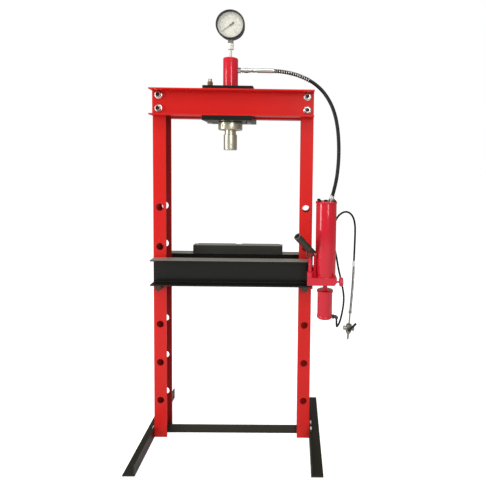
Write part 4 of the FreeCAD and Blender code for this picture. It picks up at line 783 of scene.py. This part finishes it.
pale_plate = finish(
    "pale plating", (0.80, 0.78, 0.70), 0.45, metal=0.45, spread=0.2, scale=300.0, relief=0.08,
    uneven=0.15,
)
piece(
    "gauge_adaptor_hexagon",
    [
        hexagonal((head_x, 0, adaptor_top - 0.0242), (0, 0, 1), 0.024, 0.0119, spin=0.5),
        hexagonal((head_x, 0, adaptor_top), (0, 0, -1), 0.024, 0.0119, spin=-0.5),
        threaded((head_x, 0, adaptor_top - 0.064), (0, 0, 1), 0.0055, 0.0398, 0.0016),
    ],
    pale_plate, slot="nickel", replaced=["gauge_adaptor"],
)


# ============================================================ hose couplings
# Zinc-plated steel: a quick coupling with a sliding collar at the cylinder, and a swivel
# fitting with a hexagon on the reservoir's cap.
start_x, port_z = outer + axis_x, 1.656
coupling_skin = [
    (0.0070, 0.0120), (0.0070, 0.0165), (0.0098, 0.0180), (0.0098, 0.0240), (0.0088, 0.0245),
    (0.0088, 0.0270), (0.0110, 0.0280), (0.0110, 0.0330), (0.0104, 0.0335), (0.0104, 0.0350),
    (0.0110, 0.0355), (0.0110, 0.0430), (0.0094, 0.0450), (0.0094, 0.0540), (0.0078, 0.0560),
    (0.0078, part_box("hose_coupler")[1][0] - start_x),
]
piece(
    "quick_coupling",
    [
        hexagonal((start_x + 0.0002, 0, port_z), (1, 0, 0), 0.021, 0.0125, spin=0.3),
        lathe(coupling_skin, (start_x, 0, port_z), (1, 0, 0), corner=0.0005),
    ],
    zinc_plate, slot="zinc", replaced=["hose_coupler"],
)
rounded_copy("hose_end_fitting", 0.0006, zinc_plate)


# ============================================================ pump, reservoir and air motor
# The pump block, the tube over it that holds the oil, and the air motor under it are all steel
# in crimson enamel. A bracket of bent plate, hidden behind them, bolts them to the upright.
for name in ("pump_base", "pump_bracket", "handle_links"):
    rounded_copy(name, 0.0012, crimson_enamel, segments=3)
tank_low, tank_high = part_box("reservoir_tube")
tank_x, tank_y = (tank_low[0] + tank_high[0]) / 2, (tank_low[1] + tank_high[1]) / 2
pump_axis = (tank_x, tank_y, 0)
tank_r, tank_wall = 0.0437, 0.003
tank_foot, tank_top = tank_low[2], tank_high[2]
tank_skin = [
    (tank_r - tank_wall, tank_foot), (tank_r, tank_foot), (tank_r, tank_top),
    (tank_r - tank_wall, tank_top),
]
weld_skin = [
    (tank_r - 0.0005, tank_foot + 0.0002), (tank_r + 0.0022, tank_foot + 0.0002),
    (tank_r + 0.0016, tank_foot + 0.0018), (tank_r - 0.0005, tank_foot + 0.0028),
]
piece(
    "reservoir_shell",
    [
        lathe(tank_skin, pump_axis, ring=True, corner=0.0004, steps=128),
        lathe(weld_skin, pump_axis, ring=True, corner=0.0006, steps=128),
    ],
    crimson_enamel, slot="crimson_paint", replaced=["reservoir_tube"],
)
cap_foot, cap_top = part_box("reservoir_cap")[0][2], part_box("reservoir_cap")[1][2]
lid_skin = [
    (0.0406, cap_foot), (0.0406, tank_top + 0.0001), (0.0460, tank_top + 0.0001),
    (0.0460, cap_top - 0.0025), (0.0440, cap_top), (0.0330, cap_top), (0.0320, cap_top - 0.0008),
]
piece(
    "reservoir_lid", [lathe(lid_skin, pump_axis, corner=0.0009, steps=128)],
    crimson_enamel, slot="crimson_paint", replaced=["reservoir_cap"],
)
lid_bolts, bolt_circle = [], 0.0405
for angle in map(math.radians, (40, 140, 220, 320)):
    spot = (tank_x + bolt_circle * math.cos(angle), tank_y + bolt_circle * math.sin(angle), cap_top)
    lid_bolts.append(hexagonal(spot, (0, 0, 1), 0.0138, 0.008, spin=angle))
piece("lid_bolt_heads", lid_bolts, black_oxide, slot="blackened", replaced=["cap_bolts"])
piece(
    "oil_filler_plug",
    [hexagonal((tank_x - 0.002, tank_y + 0.006, cap_top - 0.0007), (0, 0, 1), 0.014, 0.0066)],
    black_oxide, slot="blackened", replaced=["filler_plug"],
)
motor_foot, motor_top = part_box("air_motor_barrel")[0][2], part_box("air_motor_barrel")[1][2]
end_foot, end_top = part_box("air_motor_cap")[0][2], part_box("air_motor_cap")[1][2]
flange_foot, flange_top = 0.6970, 0.7050
motor_skin = [
    (0.0281, motor_foot), (0.0320, motor_foot), (0.0320, flange_foot), (0.0352, flange_foot + 0.0016),
    (0.0355, flange_top), (0.0105, flange_top), (0.0095, flange_top + 0.0012), (0.0095, motor_top),
    (0.0051, motor_top), (0.0051, flange_foot), (0.0281, flange_foot),
]
piece(
    "air_motor_shell", [lathe(motor_skin, pump_axis, ring=True, corner=0.0008, steps=112)],
    crimson_enamel, slot="crimson_paint", replaced=["air_motor_barrel"],
)
end_skin = [
    (0.0300, end_foot), (0.0335, end_foot + 0.003), (0.0335, end_foot + 0.011),
    (0.0322, end_foot + 0.014), (0.0279, end_foot + 0.0142), (0.0279, end_top),
]
piece(
    "air_motor_foot", [lathe(end_skin, pump_axis, corner=0.0007, steps=112)],
    crimson_enamel, slot="crimson_paint", replaced=["air_motor_cap"],
)
black_plastic = finish("black nylon", (0.018, 0.018, 0.018), 0.4, scale=500.0, relief=0.1)
for name in ("air_elbow", "hose_clip"):
    rounded_copy(name, 0.0006, black_plastic)
dress("air_piston", turned_steel)


# ============================================================ hand lever, plunger and release screw
# The lever's socket is a blackened tube that takes a loose bar; it swings on a pin between two
# links and pushes the plunger. The release screw's knob is moulded with finger scallops.
socket_steel = finish(
    "worn black steel", (0.06, 0.05, 0.04), 0.42, metal=0.6, spread=0.25, scale=300.0, relief=0.18,
    uneven=0.45, worn=0.8, under=(0.42, 0.40, 0.35),
)
socket_copy = rounded_copy("handle_socket", 0.0008, socket_steel)
mouth = next(m for m in frame["record"]["mounts"] if m["name"] == "lever_socket")
mouth_at, mouth_way = np.array(mouth["pos_m"]), np.array(mouth["axis"])


def unpainted(spots, bore=0.0124, depth=0.07):
    """The socket's end face, and the bore behind it down to a depth: bare steel."""
    reach = spots - mouth_at
    heights = reach @ mouth_way
    off_axis = np.linalg.norm(reach - heights[:, None] * mouth_way, axis=1)
    end = heights.max()
    return (heights > end - 0.0002) | ((off_axis < bore) & (heights > end - depth))


second_finish(socket_copy, turned_steel, unpainted)
rounded_copy("handle_pin", 0.0005, zinc_plate)
rounded_copy("pump_plunger", 0.0004, crimson_enamel)
knob_low, knob_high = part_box("release_knob")
knob_y, knob_z = (knob_low[1] + knob_high[1]) / 2, (knob_low[2] + knob_high[2]) / 2
turn = np.linspace(0, 2 * np.pi, 144, endpoint=False)[None, :]
level = np.array([0.0, 0.0006, 0.0024, 0.0080, 0.0136, 0.0154, 0.0160])[:, None]
rim = np.array([0.0150, 0.0172, 0.0188, 0.0190, 0.0188, 0.0172, 0.0150])[:, None]
scallops, bite = 9, 0.055
grip = rim * (1 - bite * (0.5 + 0.5 * np.cos(scallops * turn)) ** 3)
grip_start = knob_high[0] - knob_low[0] - 0.016
knob_at = (knob_low[0], knob_y, knob_z)
knob_red = finish("crimson plastic", (0.52, 0.012, 0.05), 0.35, scale=500.0, relief=0.1, uneven=0.15)
piece(
    "release_knob_grip",
    [
        (around(knob_at, (1, 0, 0), grip, level + grip_start, turn), False),
        lathe([(0.0040, 0.0002), (0.0040, 0.0262)], knob_at, (1, 0, 0), corner=0.0003, steps=32),
    ],
    knob_red, body="release_screw", slot="crimson_paint", replaced=["release_knob"],
)


# ============================================================ air valve
# A small plug valve with a nickelled body hangs on the end of the air hose: a thin fitting above,
# a flat lever on its side and a tapered nipple below for the workshop's air line.
valve_metal = finish(
    "worn nickel", (0.30, 0.29, 0.25), 0.36, metal=0.9, spread=0.25, scale=350.0, relief=0.15, uneven=0.4,
)
valve_body = rounded_copy("air_valve_body", 0.0006, valve_metal)
valve_lever = rounded_copy("air_valve_lever", 0.0006, black_oxide)


# ============================================================ bed, pins and press blocks
# Two channels back to back, joined by spacer bars and painted black, rest on two steel pins
# through the uprights. Two rough flame-cut blocks lie end to end on the rear channel.
# A paler finish for the top faces of the bed channels, the spacers and the press blocks.
pale_top_finish = finish(
    "pale top finish", (0.30, 0.29, 0.245), 0.42, metal=0.3, spread=0.25, scale=90.0,
    stretch=(0.3, 3, 1), relief=0.12, uneven=0.5,
)
just_under = 0.0002
bed_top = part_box("front_bed_channel")[1][2] - just_under
for name in ("front_bed_channel", "rear_bed_channel", "bed_spacers"):
    channel = rounded_copy(name, 0.0016, black_enamel, segments=3)
    second_finish(channel, pale_top_finish, lambda spots: spots[:, 2] > bed_top)
pin_steel = finish(
    "bed pin steel", (0.075, 0.065, 0.05), 0.4, metal=0.9, spread=0.3, scale=160.0, stretch=(1, 10, 1),
    relief=0.12, uneven=0.4,
)
for name, body in (("left_bed_pin", "left_pin"), ("right_bed_pin", "right_pin")):
    pin_low, pin_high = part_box(name)
    spot = ((pin_low[0] + pin_high[0]) / 2, pin_low[1], (pin_low[2] + pin_high[2]) / 2)
    long = pin_high[1] - pin_low[1]
    pin_skin = [(0.0125, 0.0), (0.015, 0.0025), (0.015, long - 0.0025), (0.0125, long)]
    piece(
        name + "_turned", [lathe(pin_skin, spot, (0, 1, 0), corner=0.0006)],
        pin_steel, body=body, slot="machined", replaced=[name],
    )
block_steel = finish(
    "flame-cut steel", (0.022, 0.022, 0.018), 0.55, metal=0.2, spread=0.3, scale=140.0,
    stretch=(2.2, 1, 0.6), relief=0.7, uneven=0.5, worn=0.5, under=(0.32, 0.31, 0.29),
)
for name in ("left_press_block", "right_press_block"):
    block_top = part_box(name)[1][2] - just_under
    block = rounded_copy(name, 0.0014, block_steel)
    second_finish(block, pale_top_finish, lambda spots: spots[:, 2] > block_top)


# ============================================================ floor and light
# A wide pale floor under a pale sky, with soft boxes at the left and right of the camera and
# one overhead.
floor_mesh = bpy.data.meshes.new("studio_floor")
floor_reach, floor_z = 40, -0.0005
floor_corners = [
    (x * floor_reach, y * floor_reach, floor_z)
    for x, y in ((-1, -1), (1, -1), (1, 1), (-1, 1))
]
floor_mesh.from_pydata(floor_corners, [], [(0, 1, 2, 3)])
floor = bpy.data.objects.new("studio_floor", floor_mesh)
floor_paint, floor_tree, floor_shader = shader("studio floor")
floor_shader.inputs["Base Color"].default_value = (0.93, 0.93, 0.93, 1.0)
floor_shader.inputs["Roughness"].default_value = 0.85
floor_shader.inputs["Specular IOR Level"].default_value = 0.1
floor_shader.inputs["Emission Color"].default_value = (1.0, 1.0, 1.0, 1.0)
seen = put(floor_tree, "ShaderNodeLightPath")
glow = put(
    floor_tree, "ShaderNodeMath", [(0, seen.outputs["Is Camera Ray"]), (1, 0.74)], operation="MULTIPLY",
)
floor_tree.links.new(glow.outputs[0], floor_shader.inputs["Emission Strength"])
floor_mesh.materials.append(floor_paint)
scene.collection.objects.link(floor)

sky = bpy.data.worlds.new("studio")
sky.use_nodes = True
backdrop = sky.node_tree.nodes["Background"]
backdrop.inputs["Color"].default_value = (1.0, 1.0, 1.0, 1.0)
seen = put(sky.node_tree, "ShaderNodeLightPath")
level = put(
    sky.node_tree, "ShaderNodeMath", [(0, seen.outputs["Is Camera Ray"]), (1, 0.68), (2, 0.32)],
    operation="MULTIPLY_ADD",
)
sky.node_tree.links.new(level.outputs[0], backdrop.inputs["Strength"])
scene.world = sky
for name, spot, aim, wide, tall, power in (
    ("left_box", (-3.4, -1.7, 1.7), (0.0, 0.0, 1.0), 0.9, 2.4, 78.0),
    ("right_box", (1.5, -3.9, 2.4), (0.0, 0.0, 1.1), 0.6, 2.0, 58.0),
    ("top_box", (-0.2, -1.7, 4.0), (0.0, 0.0, 0.8), 2.6, 2.0, 56.0),
):
    lamp = bpy.data.lights.new(name, "AREA")
    lamp.shape = "RECTANGLE"
    lamp.size = wide
    lamp.size_y = tall
    lamp.energy = power
    box = bpy.data.objects.new(name, lamp)
    box.location = spot
    box.rotation_euler = (Vector(aim) - Vector(spot)).to_track_quat("-Z", "Y").to_euler()
    scene.collection.objects.link(box)
scene.view_settings.view_transform = "Standard"
